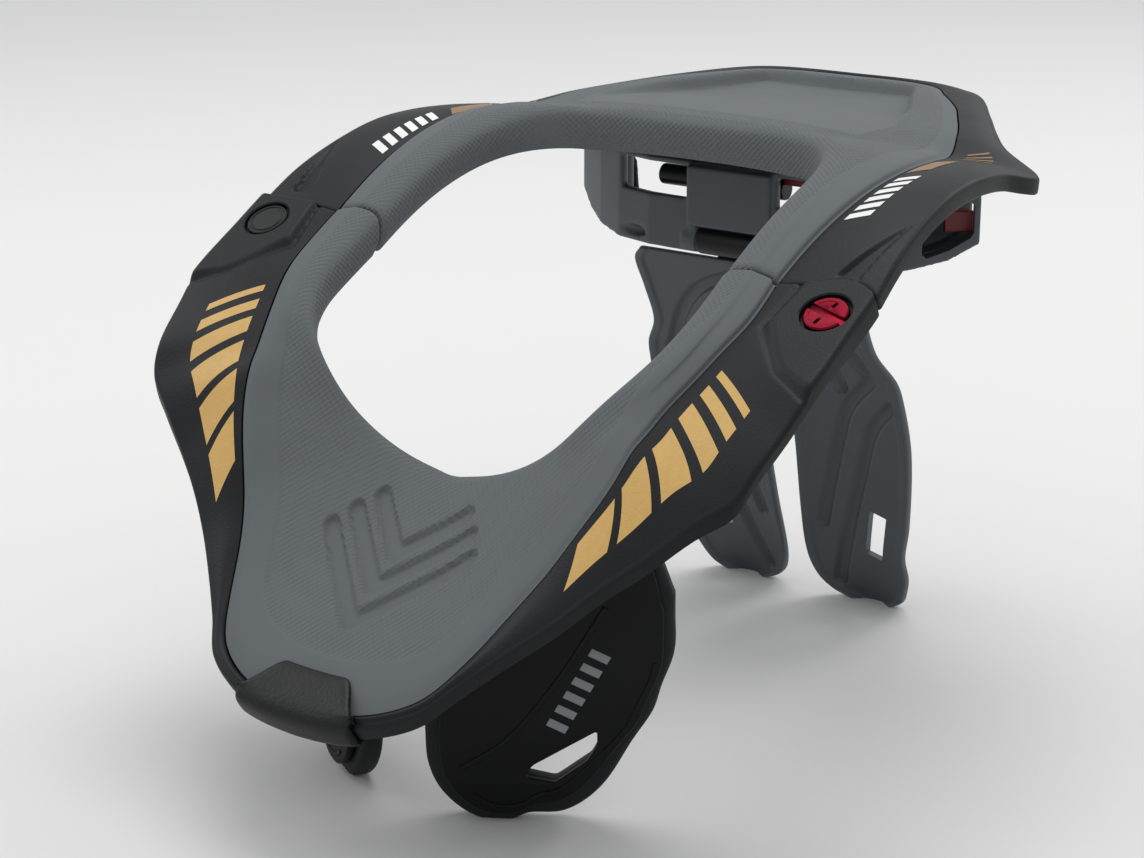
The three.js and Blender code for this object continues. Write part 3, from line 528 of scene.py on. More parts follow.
def add_node(
    material: bpy.types.Material, kind: str, settings: dict | None = None, values: dict | None = None,
    links: dict | None = None,
) -> bpy.types.Node:
    """Add a node to a material.

    Args:
        material: The material.
        kind: Kind of the node.
        settings: Its settings by name.
        values: Numbers and colours for its sockets.
        links: Outputs of other nodes for its sockets.

    Returns:
        The new node.
    """
    node = material.node_tree.nodes.new(kind)
    for name, value in (settings or {}).items():
        setattr(node, name, value)
    for socket, value in (values or {}).items():
        node.inputs[socket].default_value = value
    for socket, source in (links or {}).items():
        material.node_tree.links.new(source, node.inputs[socket])
    return node


@dataclass(frozen=True)
class Finish:
    """A finish: what the real material is and how its surface was made."""

    name: str
    slot: str
    colour: str
    roughness: float
    ior: float = 1.5
    metallic: float = 0.0
    mottle: float = 0.06
    mottle_mm: float = 25.0
    specular: float = 0.5

    def material(self) -> bpy.types.Material:
        """Return the material, made once.

        Returns:
            The material, found by name or new.
        """
        found = bpy.data.materials.get(self.name)
        if found:
            return found
        material = bpy.data.materials.new(self.name)
        material.use_nodes = True
        tree = material.node_tree
        tree.nodes.clear()
        place = add_node(material, "ShaderNodeTexCoord").outputs["Object"]
        values = {"Metallic": self.metallic}
        if self.metallic < 1:
            values["IOR"] = self.ior
            values["Specular IOR Level"] = self.specular
        colour = self.colour_output(material, place)
        links = {
            "Base Color": colour,
            "Roughness": self.roughness_output(material, place),
            "Normal": self.relief_output(material, place),
        }
        shader = add_node(material, "ShaderNodeBsdfPrincipled", None, values, links)
        add_node(material, "ShaderNodeOutputMaterial", None, None, {"Surface": shader.outputs["BSDF"]})
        material.diffuse_color = linear(self.colour)
        return material

    def colour_output(self, material: bpy.types.Material, place: Socket) -> Socket:
        """Return the colour, with slow uneven tone from moulding and handling.

        Args:
            material: The material that gets the nodes.
            place: Where the surface is, in the object's frame.

        Returns:
            The socket with the colour.
        """
        noise = add_node(
            material, "ShaderNodeTexNoise", None, {"Scale": 1 / (self.mottle_mm * MM), "Detail": 3.0},
            {"Vector": place})
        red, green, blue, alpha = linear(self.colour)
        dark = tuple(c * (1 - self.mottle) for c in (red, green, blue)) + (alpha,)
        light = tuple(min(1.0, c * (1 + self.mottle)) for c in (red, green, blue)) + (alpha,)
        mix = add_node(
            material, "ShaderNodeMix", {"data_type": "RGBA"}, {6: dark, 7: light}, {0: noise.outputs["Fac"]})
        return mix.outputs[2]

    def roughness_output(self, material: bpy.types.Material, place: Socket) -> Socket:
        """Return the roughness, a little uneven where hands have polished it.

        Args:
            material: The material that gets the nodes.
            place: Where the surface is, in the object's frame.

        Returns:
            The socket with the roughness.
        """
        noise = add_node(
            material, "ShaderNodeTexNoise", None, {"Scale": 1 / (18 * MM), "Detail": 2.0}, {"Vector": place})
        span = add_node(
            material, "ShaderNodeMapRange", None,
            {"To Min": self.roughness - 0.04, "To Max": self.roughness + 0.04},
            {"Value": noise.outputs["Fac"]})
        return span.outputs["Result"]

    def relief_output(self, material: bpy.types.Material, place: Socket) -> Socket:
        """Return the normal of the bare surface, with faint ripples of the tool.

        Args:
            material: The material that gets the nodes.
            place: Where the surface is, in the object's frame.

        Returns:
            The socket with the normal.
        """
        noise = add_node(
            material, "ShaderNodeTexNoise", None, {"Scale": 1 / (0.8 * MM), "Detail": 2.0}, {"Vector": place})
        bump = add_node(
            material, "ShaderNodeBump", None, {"Strength": 0.15, "Distance": 0.05 * MM},
            {"Height": noise.outputs["Fac"]})
        return bump.outputs["Normal"]


@dataclass(frozen=True)
class GrainedMoulding(Finish):
    """Injection-moulded plastic from a spark-etched tool, which leaves a fine leather-like grain."""

    grain_mm: float = 1.0
    grain_depth_mm: float = 0.07

    def relief_output(self, material: bpy.types.Material, place: Socket) -> Socket:
        """Return the normal of the grain: small rounded cells with wandering edges.

        Args:
            material: The material that gets the nodes.
            place: Where the surface is, in the object's frame.

        Returns:
            The socket with the normal.
        """
        warp = add_node(
            material, "ShaderNodeTexNoise", None, {"Scale": 1 / (2.2 * MM), "Detail": 1.0}, {"Vector": place})
        shift = add_node(
            material, "ShaderNodeVectorMath", {"operation": "SCALE"}, {"Scale": 0.5 * MM},
            {0: warp.outputs["Color"]})
        moved = add_node(
            material, "ShaderNodeVectorMath", {"operation": "ADD"}, None,
            {0: place, 1: shift.outputs["Vector"]})
        cells = add_node(
            material, "ShaderNodeTexVoronoi", {"feature": "SMOOTH_F1"},
            {"Scale": 1 / (self.grain_mm * MM), "Smoothness": 0.4}, {"Vector": moved.outputs["Vector"]})
        bump = add_node(
            material, "ShaderNodeBump", {"invert": True},
            {"Strength": 0.8, "Distance": self.grain_depth_mm * MM}, {"Height": cells.outputs["Distance"]})
        return bump.outputs["Normal"]


@dataclass(frozen=True)
class FoamSkin(Finish):
    """Moulded EVA foam with an embossed skin of small diamonds, which catches raking light."""

    # The real diamonds are estimated at 1.2 to 1.8 mm, too fine to show, so they are drawn coarser.
    diamond_mm: float = 2.5
    diamond_depth_mm: float = 0.32

    def relief_output(self, material: bpy.types.Material, place: Socket) -> Socket:
        """Return the normal of the embossed diamonds where the grain channel says so.

        Args:
            material: The material that gets the nodes.
            place: Where the surface is, in the object's frame.

        Returns:
            The socket with the normal.
        """
        axes = add_node(material, "ShaderNodeSeparateXYZ", None, None, {"Vector": place})
        waves = {}
        for axis in "XYZ":
            turns = add_node(
                material, "ShaderNodeMath", {"operation": "MULTIPLY"},
                {1: 2 * math.pi / (self.diamond_mm * MM)}, {0: axes.outputs[axis]})
            waves[axis] = add_node(
                material, "ShaderNodeMath", {"operation": "COSINE"}, None, {0: turns.outputs[0]}).outputs[0]
        facing = add_node(
            material, "ShaderNodeSeparateXYZ", None, None,
            {"Vector": add_node(material, "ShaderNodeTexCoord").outputs["Normal"]})
        total = None
        for first, second, across in (("X", "Y", "Z"), ("Y", "Z", "X"), ("X", "Z", "Y")):
            pattern = add_node(
                material, "ShaderNodeMath", {"operation": "MULTIPLY"}, None,
                {0: waves[first], 1: waves[second]})
            weight = add_node(
                material, "ShaderNodeMath", {"operation": "POWER"}, {1: 4.0},
                {0: add_node(material, "ShaderNodeMath", {"operation": "ABSOLUTE"}, None,
                             {0: facing.outputs[across]}).outputs[0]})
            share = add_node(
                material, "ShaderNodeMath", {"operation": "MULTIPLY"}, None,
                {0: pattern.outputs[0], 1: weight.outputs[0]})
            total = share if total is None else add_node(
                material, "ShaderNodeMath", {"operation": "ADD"}, None,
                {0: total.outputs[0], 1: share.outputs[0]})
        grain = add_node(material, "ShaderNodeAttribute", {"attribute_name": "grain"})
        masked = add_node(
            material, "ShaderNodeMath", {"operation": "MULTIPLY"}, None,
            {0: total.outputs[0], 1: grain.outputs["Fac"]})
        diamonds = add_node(
            material, "ShaderNodeBump", None, {"Strength": 0.9, "Distance": self.diamond_depth_mm * MM},
            {"Height": masked.outputs[0]})
        skin = add_node(
            material, "ShaderNodeTexNoise", None, {"Scale": 1 / (0.6 * MM), "Detail": 2.0}, {"Vector": place})
        fine = add_node(
            material, "ShaderNodeBump", None, {"Strength": 0.25, "Distance": 0.04 * MM},
            {"Height": skin.outputs["Fac"], "Normal": diamonds.outputs["Normal"]})
        return fine.outputs["Normal"]


@dataclass(frozen=True)
class TurnedMetal(Finish):
    """Anodised or bare metal turned on a lathe, which leaves fine rings round its axis."""

    centre: Spot = (0.0, 0.0, 0.0)
    axis: Spot = (0.0, 0.0, 1.0)
    ring_mm: float = 0.35

    def relief_output(self, material: bpy.types.Material, place: Socket) -> Socket:
        """Return the normal of the rings, which stretch highlights into a cross of light.

        Args:
            material: The material that gets the nodes.
            place: Where the surface is, in the object's frame.

        Returns:
            The socket with the normal.
        """
        centre = tuple(float(v) for v in to_frame(np.array(self.centre)))
        arm = add_node(
            material, "ShaderNodeVectorMath", {"operation": "SUBTRACT"}, {1: centre}, {0: place})
        turn = add_node(
            material, "ShaderNodeVectorMath", {"operation": "CROSS_PRODUCT"}, {1: self.axis},
            {0: arm.outputs["Vector"]})
        radius = add_node(
            material, "ShaderNodeVectorMath", {"operation": "LENGTH"}, None, {0: turn.outputs["Vector"]})
        rings = add_node(
            material, "ShaderNodeMath", {"operation": "MULTIPLY"},
            {1: 2 * math.pi / (self.ring_mm * MM)}, {0: radius.outputs["Value"]})
        wave = add_node(material, "ShaderNodeMath", {"operation": "SINE"}, None, {0: rings.outputs[0]})
        bump = add_node(
            material, "ShaderNodeBump", None, {"Strength": 0.25, "Distance": 0.02 * MM},
            {"Height": wave.outputs[0]})
        return bump.outputs["Normal"]


PIVOT_TILT = math.radians(30)
PIVOT_X = 134.0
PIVOT_Z = 196.0
PIVOT_AXIS = (0.0, -math.sin(PIVOT_TILT), math.cos(PIVOT_TILT))

# Impact-modified polypropylene, moulded in a grained tool: black with a soft broken sheen.
SHELL_PP = GrainedMoulding("shell_polypropylene_grained", "shell", "#0e1013", 0.5, 1.49, specular=0.27)
# Cross-linked EVA foam, moulded with an embossed skin: mid grey, matt with small glints.
PAD_EVA = FoamSkin("pad_eva_foam_embossed", "foam", "#606568", 0.7, 1.45, mottle=0.05, specular=0.3)
# Glass-filled nylon, moulded in a satin tool: slate grey with soft highlights along its ribs.
NYLON = GrainedMoulding(
    "strut_glass_filled_nylon", "nylon", "#454b50", 0.5, 1.53, grain_mm=0.6, grain_depth_mm=0.025)
# Carbon-black acetal, moulded: nearly black and a little glossy on its edges.
ACETAL = GrainedMoulding(
    "barrel_acetal_moulded", "barrel", "#0c0d0e", 0.4, 1.48, specular=0.35, grain_mm=0.6, grain_depth_mm=0.02)
# Nylon clip over the nose, moulded: black with a small pebbled grain.
LATCH_NYLON = GrainedMoulding(
    "latch_nylon_moulded", "latch", "#0b0c0d", 0.45, 1.53, specular=0.27, grain_mm=1.3, grain_depth_mm=0.09)
# Red acetal, moulded: deep red and satin.
RED_ACETAL = Finish("clip_red_acetal_moulded", "clip", "#6a0f12", 0.38, 1.48)
# Thermoplastic rubber, moulded: dark grey and matt, as it scatters light in its soft skin.
RUBBER = GrainedMoulding(
    "wing_rubber_moulded", "rubber", "#16181a", 0.62, 1.52, specular=0.25, grain_mm=0.8, grain_depth_mm=0.04)
# Grained polypropylene of the wings: near black, with the same leather grain as the shell.
PANEL_PP = GrainedMoulding("wing_panel_polypropylene", "panel", "#050606", 0.5, 1.49, specular=0.2)
# Anodised aluminium, turned: saturated red metal with bright rings.
RED_ANODISED = TurnedMetal(
    "screw_anodised_aluminium_turned", "screw", "#761024", 0.32, metallic=1.0, mottle=0.03,
    centre=(PIVOT_X, 0.0, PIVOT_Z), axis=PIVOT_AXIS)
# Stainless steel pin, ground: plain bright grey.
STEEL = TurnedMetal(
    "pin_stainless_steel_ground", "pin", "#b4b6b8", 0.3, metallic=1.0, mottle=0.02,
    centre=(0.0, HINGE_OFFSET, 177.0), axis=(1.0, 0.0, 0.0))
# Screen ink on the grained shell: warm gold that follows the grain below.
GOLD_INK = GrainedMoulding(
    "print_gold_ink", "shell", "#cda55c", 0.45, 1.5, mottle=0.08, mottle_mm=3.0, grain_depth_mm=0.09)
# Thin bronze ink on the rear arms: duller, because the black shows through.
BRONZE_INK = GrainedMoulding("print_bronze_ink", "shell", "#8a6c43", 0.5, 1.5)
# White ink, printed thickly.
WHITE_INK = GrainedMoulding("print_white_ink", "shell", "#e9e9e7", 0.5, 1.5, grain_depth_mm=0.04)
# Grey ink on the wings.
GREY_INK = GrainedMoulding("print_grey_ink", "panel", "#7c7f82", 0.5, 1.5)


# Sizes of the ring in millimetres.
RING_HALF_WIDTH = 148.0
NECK_HALF_WIDTH = 82.0
SHELL_SKIN = 3.0
RIM_DEPTH = 7.5
PAD_BED = 3.3
PAD_ROLL = 11.0
PAD_CROWN = 7.5
PAD_LIP = 11.0
FIT_GAP = 0.35
SPLIT_OFFSET = 12.0
SPLIT_GAP = 0.6
EAR_RADIUS = 18.0
EAR_RISE = 1.4
SEAM_LIFT = 12.0
EDGE_RADIUS = 2.3

# outX outY outFall neckX neckY neckFall seam lift, from the wearer's left pivot to the nose.
FRONT_ROWS = [
    (0.993, -0.16, -0.09, 0.99, -0.52, -0.08, 0.38, 0.22),
    (1.0, -0.087, -0.045, 1.0, -0.286, -0.02, 0.37, 0.22),
    (1.0, 0.036, 0.025, 1.01, 0.12, 0.105, 0.385, 0.11),
    (1.0, 0.188, 0.1, 1.01, 0.43, 0.184, 0.34, 0.08),
    (0.987, 0.304, 0.2, 0.98, 0.7, 0.276, 0.31, 0.06),
    (0.966, 0.413, 0.293, 0.91, 0.93, 0.38, 0.31, 0.06),
    (0.939, 0.464, 0.364, 0.8, 1.04, 0.5, 0.38, 0.4),
    (0.858, 0.514, 0.429, 0.695, 1.09, 0.63, 0.47, 0.9),
    (0.757, 0.565, 0.529, 0.585, 1.09, 0.743, 0.59, 1.0),
    (0.662, 0.623, 0.614, 0.463, 1.07, 0.842, 0.68, 0.75),
    (0.574, 0.688, 0.707, 0.341, 1.048, 0.908, 0.745, 0.4),
    (0.486, 0.768, 0.786, 0.232, 1.024, 0.954, 0.83, 0.1),
    (0.405, 0.848, 0.864, 0.134, 1.007, 0.98, 0.925, 0.02),
    (0.331, 0.928, 0.936, 0.061, 1.0, 0.993, 0.955, 0),
    (0.189, 0.986, 0.986, 0.03, 1.0, 1.0, 0.962, 0),
    (0, 1.0, 1.0, 0, 1.0, 1.0, 0.965, 0),
]
# The same from the wearer's left pivot to the middle of the rear edge.
REAR_ROWS = [
    (0.999, 0.024, 0.05, 1.0, 0.053, -0.09, 0.37, 0.22),
    (0.983, 0.119, 0.402, 1.0, 0.281, 0.364, 0.4, 0.14),
    (0.966, 0.214, 0.634, 0.994, 0.474, 0.636, 0.447, 0.15),
    (0.953, 0.302, 0.768, 0.976, 0.658, 0.818, 0.475, 0.1),
    (0.939, 0.381, 0.805, 0.915, 0.807, 0.94, 0.547, 0.1),
    (0.926, 0.452, 0.793, 0.805, 0.912, 0.985, 0.6, 0.1),
    (0.909, 0.532, 0.732, 0.683, 0.96, 1.0, 0.66, 0.13),
    (0.919, 0.635, 0.61, 0.561, 0.982, 1.0, 0.645, 0.4),
    (0.763, 0.702, 0.756, 0.451, 0.991, 1.0, 0.777, 0.35),
    (0.662, 0.778, 0.829, 0.354, 0.996, 1.0, 0.84, 0.33),
    (0.568, 0.861, 0.89, 0.268, 1.0, 1.0, 0.84, 0.3),
    (0.419, 0.98, 0.963, 0.183, 1.0, 1.0, 0.87, 0.22),
    (0.311, 0.998, 0.988, 0.11, 1.0, 1.0, 0.93, 0.15),
    (0.162, 1.0, 1.0, 0.055, 1.0, 1.0, 0.95, 0.1),
    (0, 1.0, 1.0, 0, 1.0, 1.0, 0.955, 0.08),
]
# Width roll crown lip lift shares of a pad's outline, from the hidden lip over the roll to the seam.
PAD_ROWS = np.array([
    (0, 0.25, 0, -1, 0),
    (0, 0.03, 0, -0.55, 0),
    (0, 0, 0, 0, 0),
    (0, 0.11, 0.55, 0, 0),
    (0, 0.42, 0.9, 0, 0),
    (0, 1, 1, 0, 0.05),
    (0.2, 0.9, 0.87, 0, 0.25),
    (0.55, 0.3, 0.66, 0, 0.6),
    (0.8, 0.08, 0.44, 0, 0.82),
    (0.93, 0, 0.24, 0, 0.96),
    (1, -0.12, 0.02, 0, 1),
], float)
PAD_STEPS = (4, 5, 8, 8, 12, 16, 26, 22, 12, 8)


@dataclass
class Ring:
    """One half of the ring, as sections across it from the wearer's left to the right."""

    rows: list[tuple[float, ...]]
    out_way: float
    neck_way: float
    out_climb: float
    neck_climb: float
    origin: Points = field(init=False)
    across: Points = field(init=False)
    rise: Points = field(init=False)
    reach: Points = field(init=False)
    width: Points = field(init=False)
    lift: Points = field(init=False)

    def __post_init__(self) -> None:
        """Work out the sections."""
        left = np.array(self.rows, float)
        right = left[:-1][::-1].copy()
        right[:, [0, 3]] *= -1
        table = np.vstack([left, right])
        where = np.linspace(0, 1, SAMPLES)
        outer = through(np.column_stack([
            table[:, 0] * RING_HALF_WIDTH, table[:, 1] * self.out_way,
            PIVOT_Z + table[:, 2] * self.out_climb]), where)
        self.origin = through(np.column_stack([
            table[:, 3] * NECK_HALF_WIDTH, table[:, 4] * self.neck_way,
            PIVOT_Z + table[:, 5] * self.neck_climb]), where)
        self.origin = np.column_stack([softened(values) for values in self.origin.T])
        shares = through(table[:, 6:8], where, even=True)
        run = outer - self.origin
        self.reach = np.linalg.norm(run, axis=1)
        self.across = run / self.reach[:, None]
        upright = np.array([0, 0, 1.0]) - self.across * self.across[:, 2:]
        self.rise = upright / np.linalg.norm(upright, axis=1, keepdims=True)
        self.width = softened(shares[:, 0] * self.reach)
        self.lift = softened(shares[:, 1] * SEAM_LIFT)

    def place(self, out: Points, height: Points) -> Points:
        """Return the points at a way out and a height in every section."""
        return self.origin + self.across * out[:, None] + self.rise * height[:, None]

    def shell_top(self, share: float, above: float = 0.0) -> Points:
        """Return the shell's top line at a share of the way from the seam to the rim.

        Args:
            share: Share of the way.
            above: Height above the shell.

        Returns:
            One point for each section.
        """
        out = self.width + 0.45 + share * (self.reach - EDGE_RADIUS - self.width - 0.45)
        height = self.lift * (1 - share) + 1.6 * SHELL_SKIN * share * (1 - share)
        return self.place(out, height + above)

    def length_along(self, share: float) -> Points:
        """Return the length of a top line from the middle, growing to the wearer's left.

        Args:
            share: Share of the way from the seam to the rim.

        Returns:
            One length for each section.
        """
        line = self.shell_top(share)
        steps = np.linalg.norm(np.diff(line, axis=0), axis=1)
        total = np.concatenate([[0], np.cumsum(steps)])
        return total[SAMPLES // 2] - total


def tilted(points: Points, side: Side) -> Points:
    """Return points in the plane of an ear, from its pivot: outwards and up the slope.

    Args:
        points: Points in the building frame.
        side: Side of the ear.

    Returns:
        Two numbers for each point.
    """
    out = side.value * points[..., 0] - PIVOT_X
    slope = points[..., 1] * math.cos(PIVOT_TILT) + (points[..., 2] - PIVOT_Z) * math.sin(PIVOT_TILT)
    return np.stack([out, slope], axis=-1)


def front_margin(points: Points) -> Points:
    """Return how far points lie inside the front half, ahead of the split.

    Args:
        points: Points in the building frame.

    Returns:
        One distance for each point.
    """
    plain = SPLIT_OFFSET - points[..., 1]
    ear = EAR_RADIUS - np.linalg.norm(tilted(points, Side.LEFT), axis=-1)
    return np.where(points[..., 0] > 0, np.maximum(plain, ear), plain)


def rear_margin(points: Points) -> Points:
    """Return how far points lie inside the rear half, behind the split.

    Args:
        points: Points in the building frame.

    Returns:
        One distance for each point.
    """
    plain = points[..., 1] - SPLIT_OFFSET - SPLIT_GAP
    ear = np.linalg.norm(tilted(points, Side.LEFT), axis=-1) - EAR_RADIUS - SPLIT_GAP
    return np.where(points[..., 0] > 0, np.minimum(plain, ear), plain)


def trimmed(lines: Points, margin: Callable[[Points], Points], steps: Points) -> Points:
    """Cut lines at the split and divide what is left.

    Args:
        lines: Lines by samples, with more than three numbers where channels go with the points.
        margin: How far a point lies inside.
        steps: Places along each cut line, from 0 to 1.

    Returns:
        Points by place along, by line.
    """
    count = lines.shape[1]
    spots = np.arange(count)
    result = np.empty((len(steps), len(lines), lines.shape[2]))
    for i, line in enumerate(lines):
        kept = margin(line[:, :3])
        middle = count // 2
        outside = np.flatnonzero(kept[:middle] <= 0)
        low = outside[-1] if len(outside) else 0
        start = low + (-kept[low] / (kept[low + 1] - kept[low]) if len(outside) else 0)
        outside = np.flatnonzero(kept[middle:] <= 0)
        high = middle + outside[0] if len(outside) else count - 1
        stop = high - (-kept[high] / (kept[high - 1] - kept[high]) if len(outside) else 0)
        where = start + (stop - start) * steps
        for channel in range(lines.shape[2]):
            result[:, i, channel] = np.interp(where, spots, line[:, channel])
    return result


@dataclass
class Shell:
    """A moulded shell of one half of the ring."""

    ring: Ring
    margin: Callable[[Points], Points]
    top_lines: int = 44
    rows: int = 620
    ear_weight: float = 0.0

    def outline(self) -> list[tuple[Points, float]]:
        """Return the closed outline's lines, each with its share of the ears' rise.

        Returns:
            Pairs of a line and a share.
        """
        ring = self.ring
        reach, width, lift = ring.reach, ring.width, ring.lift
        middle = 0.5 * (width + reach)
        wall = np.maximum(reach - SHELL_SKIN, middle + 0.1 * SHELL_SKIN)
        lines = [
            (ring.place(width + 0.3, lift - 1.3), 1.0),
            (ring.place(width + 0.32, lift - 0.6), 1.0),
        ]
        lines += [(ring.shell_top(share), 1.0) for share in np.linspace(0, 1, self.top_lines)]
        for angle in np.radians([22, 45, 68, 90]):
            out = reach - EDGE_RADIUS * (1 - math.sin(angle))
            lines.append((ring.place(out, np.full(SAMPLES, EDGE_RADIUS * (math.cos(angle) - 1))), 1.0))
        for depth, weight in ((3.4, 0.8), (4.6, 0.5), (5.8, 0.2)):
            lines.append((ring.place(reach, np.full(SAMPLES, -depth)), weight))
        lines += [
            (ring.place(reach - 0.1, np.full(SAMPLES, -RIM_DEPTH + 0.5)), 0.0),
            (ring.place(reach - 0.6, np.full(SAMPLES, -RIM_DEPTH)), 0.0),
            (ring.place(wall, np.full(SAMPLES, -RIM_DEPTH)), 0.0),
            (ring.place(wall, np.full(SAMPLES, -1.2 * SHELL_SKIN)), 0.0),
            (ring.place(middle, 0.5 * lift - 0.6 * SHELL_SKIN), 0.0),
            (ring.place(width, lift - PAD_BED - SHELL_SKIN), 0.0),
            (ring.place(0.55 * width, 0.5 * lift - PAD_BED - SHELL_SKIN), 0.0),
            (ring.place(np.full(SAMPLES, 0.82 * PAD_ROLL), np.full(SAMPLES, -PAD_BED - SHELL_SKIN)), 0.0),
            (ring.place(np.full(SAMPLES, 0.82 * PAD_ROLL), np.full(SAMPLES, -PAD_BED)), 0.0),
            (ring.place(0.55 * width, 0.5 * lift - PAD_BED), 0.0),
            (ring.place(width, lift - PAD_BED), 0.0),
        ]
        return lines

    def grid(self) -> Points:
        """Return the shell's points by row, by place in the outline.

        Returns:
            The grid that is lofted.
        """
        outline = self.outline()
        lines = np.stack([line for line, _ in outline])
        weights = np.array([weight for _, weight in outline])
        if self.ear_weight:
            lines = lines + ear_rise(lines, self.top_lines + 1, weights)
        fine = (0, 0.12, 0.3, 0.55, 0.85, 1.2)
        return rounded_ends(trimmed(lines, self.margin, end_steps(470, self.rows, fine)), fine, 1.1)


# Outline of an ear's raised plateau: outwards and up the slope from its pivot.
EAR_PLATEAU: Line = [(-17.5, 40), (-17.5, 12), (-21, -9.9), (-2.8, -31.5), (16, -42), (60, -42), (60, 40)]
EAR_BEVEL = 3.4
EAR_GROOVE = 0.8


def ear_rise(lines: Points, edge_line: int, weights: Points) -> Points:
    """Return how far the ears lift each point of a shell.

    Args:
        lines: Lines of the outline, by samples.
        edge_line: Line at the rim's top, which sets the lift of the rim's wall.
        weights: Share of the lift that each line takes.

    Returns:
        Moves in the same layout as the lines.
    """
    rise = np.zeros(lines.shape)
    for side in Side:
        flat = tilted(lines, side)
        inside = depth_inside(flat, EAR_PLATEAU)
        share = smooth_step(0, EAR_BEVEL, inside)
        groove = EAR_GROOVE * np.exp(-((inside + 0.4) / 1.1) ** 2)
        level = PIVOT_Z + EAR_RISE / math.cos(PIVOT_TILT) + lines[..., 1] * math.tan(PIVOT_TILT)
        near = side.value * lines[..., 0] > 0
        rise[..., 2] += np.where(near, share * (level - lines[..., 2]) - groove, 0)
    below = np.arange(len(lines)) > edge_line
    rise[below] = rise[edge_line]
    return rise * weights[:, None, None]


@dataclass
class Pad:
    """A foam pad of one half of the ring, rolled over the neck edge."""

    ring: Ring
    margin: Callable[[Points], Points]
    band: Callable[[Points], Points]
    relief: Callable[[Points], tuple[Points, Points]]
    rows: int = 470
    end_radius: float = 1.8

    def profile(self) -> Points:
        """Return the shares of the outline's visible lines.

        Returns:
            One row of shares for each line.
        """
        typical = np.column_stack([
            PAD_ROWS[:, 0] * 32 + PAD_ROWS[:, 1] * PAD_ROLL,
            PAD_ROWS[:, 2] * PAD_CROWN + PAD_ROWS[:, 3] * PAD_LIP])
        places = np.concatenate([
            i + np.arange(steps) / steps for i, steps in enumerate(PAD_STEPS)] + [[len(PAD_STEPS)]])
        return through(PAD_ROWS, places / len(PAD_STEPS), keys=typical)

    def lines(self) -> Points:
        """Return the outline's lines with the share across and the distance to the seam.

        Returns:
            Five numbers for each sample of each line.
        """
        ring = self.ring
        width, lift = ring.width, ring.lift
        found = []
        for share, roll, crown, lip, rise in self.profile():
            out = share * width + roll * PAD_ROLL
            height = crown * PAD_CROWN + lip * PAD_LIP + rise * lift
            found.append(np.column_stack([ring.place(out, height), out / width, width - out]))
        bed_end = 0.82 * PAD_ROLL - FIT_GAP
        for out, height in (
            (width - FIT_GAP, lift - 0.1),
            (width - FIT_GAP, lift - 1.2),
            (width - FIT_GAP, lift - PAD_BED + FIT_GAP),
            (0.55 * width, 0.5 * lift - PAD_BED + FIT_GAP),
            (np.full(SAMPLES, bed_end), np.full(SAMPLES, -PAD_BED + FIT_GAP)),
            (np.full(SAMPLES, bed_end), np.full(SAMPLES, -PAD_LIP)),
        ):
            found.append(np.column_stack([ring.place(out, height), out / width, 0 * out]))
        return np.stack(found)

    def build(self, name: str, node: str, body: str) -> bpy.types.Object:
        """Build the pad.

        Args:
            name: Name of the piece.
            node: CAD node that it stands for.
            body: Body that it rides on.

        Returns:
            The pad.
        """
        fine = (0, 0.1, 0.3, 0.6, 1.0, 1.4, 2.0)
        grid = trimmed(self.lines(), self.margin, end_steps(420, self.rows, fine))
        points, seam = grid[..., :3], grid[..., 4]
        top = sum(PAD_STEPS) + 1
        depth, smooth = self.relief(points)
        band = self.band(points)
        grain = smooth_step(-0.6, 0.6, seam - band) * (1 - smooth)
        depth = depth + 0.28 * grain
        depth[:, top:] = 0
        edge = smooth_step(0.0, 4.0, seam)
        points = points - grid_normals(points) * (depth * edge)[..., None]
        points = rounded_ends(points, fine, self.end_radius)
        pad = Maker.loft(name, points, PAD_EVA, body, {"grain": grain})
        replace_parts(pad, node)
        return pad


class Stripes:
    """Plain slanted bars printed on a shell."""

    def __init__(self, ring: Ring, body: str) -> None:
        """Keep the shell's ring and body.

        Args:
            ring: Ring of the shell.
            body: Body that the bars ride on.
        """
        self.ring = ring
        self.body = body
        self.lengths = ring.length_along(0.5)

    def bar(self, name: str, finish: Finish, side: Side, start: float, width: float,
            shares: tuple[float, float], slant: float) -> bpy.types.Object:
        """Print one bar.

        Args:
            name: Name of the bar.
            finish: Its ink.
            side: Side of the brace.
            start: Length from the middle of the ring to its first corner.
            width: Its width along the ring.
            shares: Where it starts and ends on the way from the seam to the rim.
            slant: How far its end leans along the ring.

        Returns:
            The bar.
        """
        across = np.linspace(shares[0], shares[1], 25)
        grid = []
        for i, share in enumerate(across):
            line = self.ring.shell_top(share, 0.14)
            run = side.value * (start + slant * i / (len(across) - 1) + np.linspace(0, width, 13))
            spots = np.interp(run, self.lengths[::-1], np.arange(SAMPLES)[::-1])
            grid.append(np.column_stack([np.interp(spots, np.arange(SAMPLES), line[:, k]) for k in range(3)]))
        return Maker.sheet(name, np.array(grid), finish, self.body)


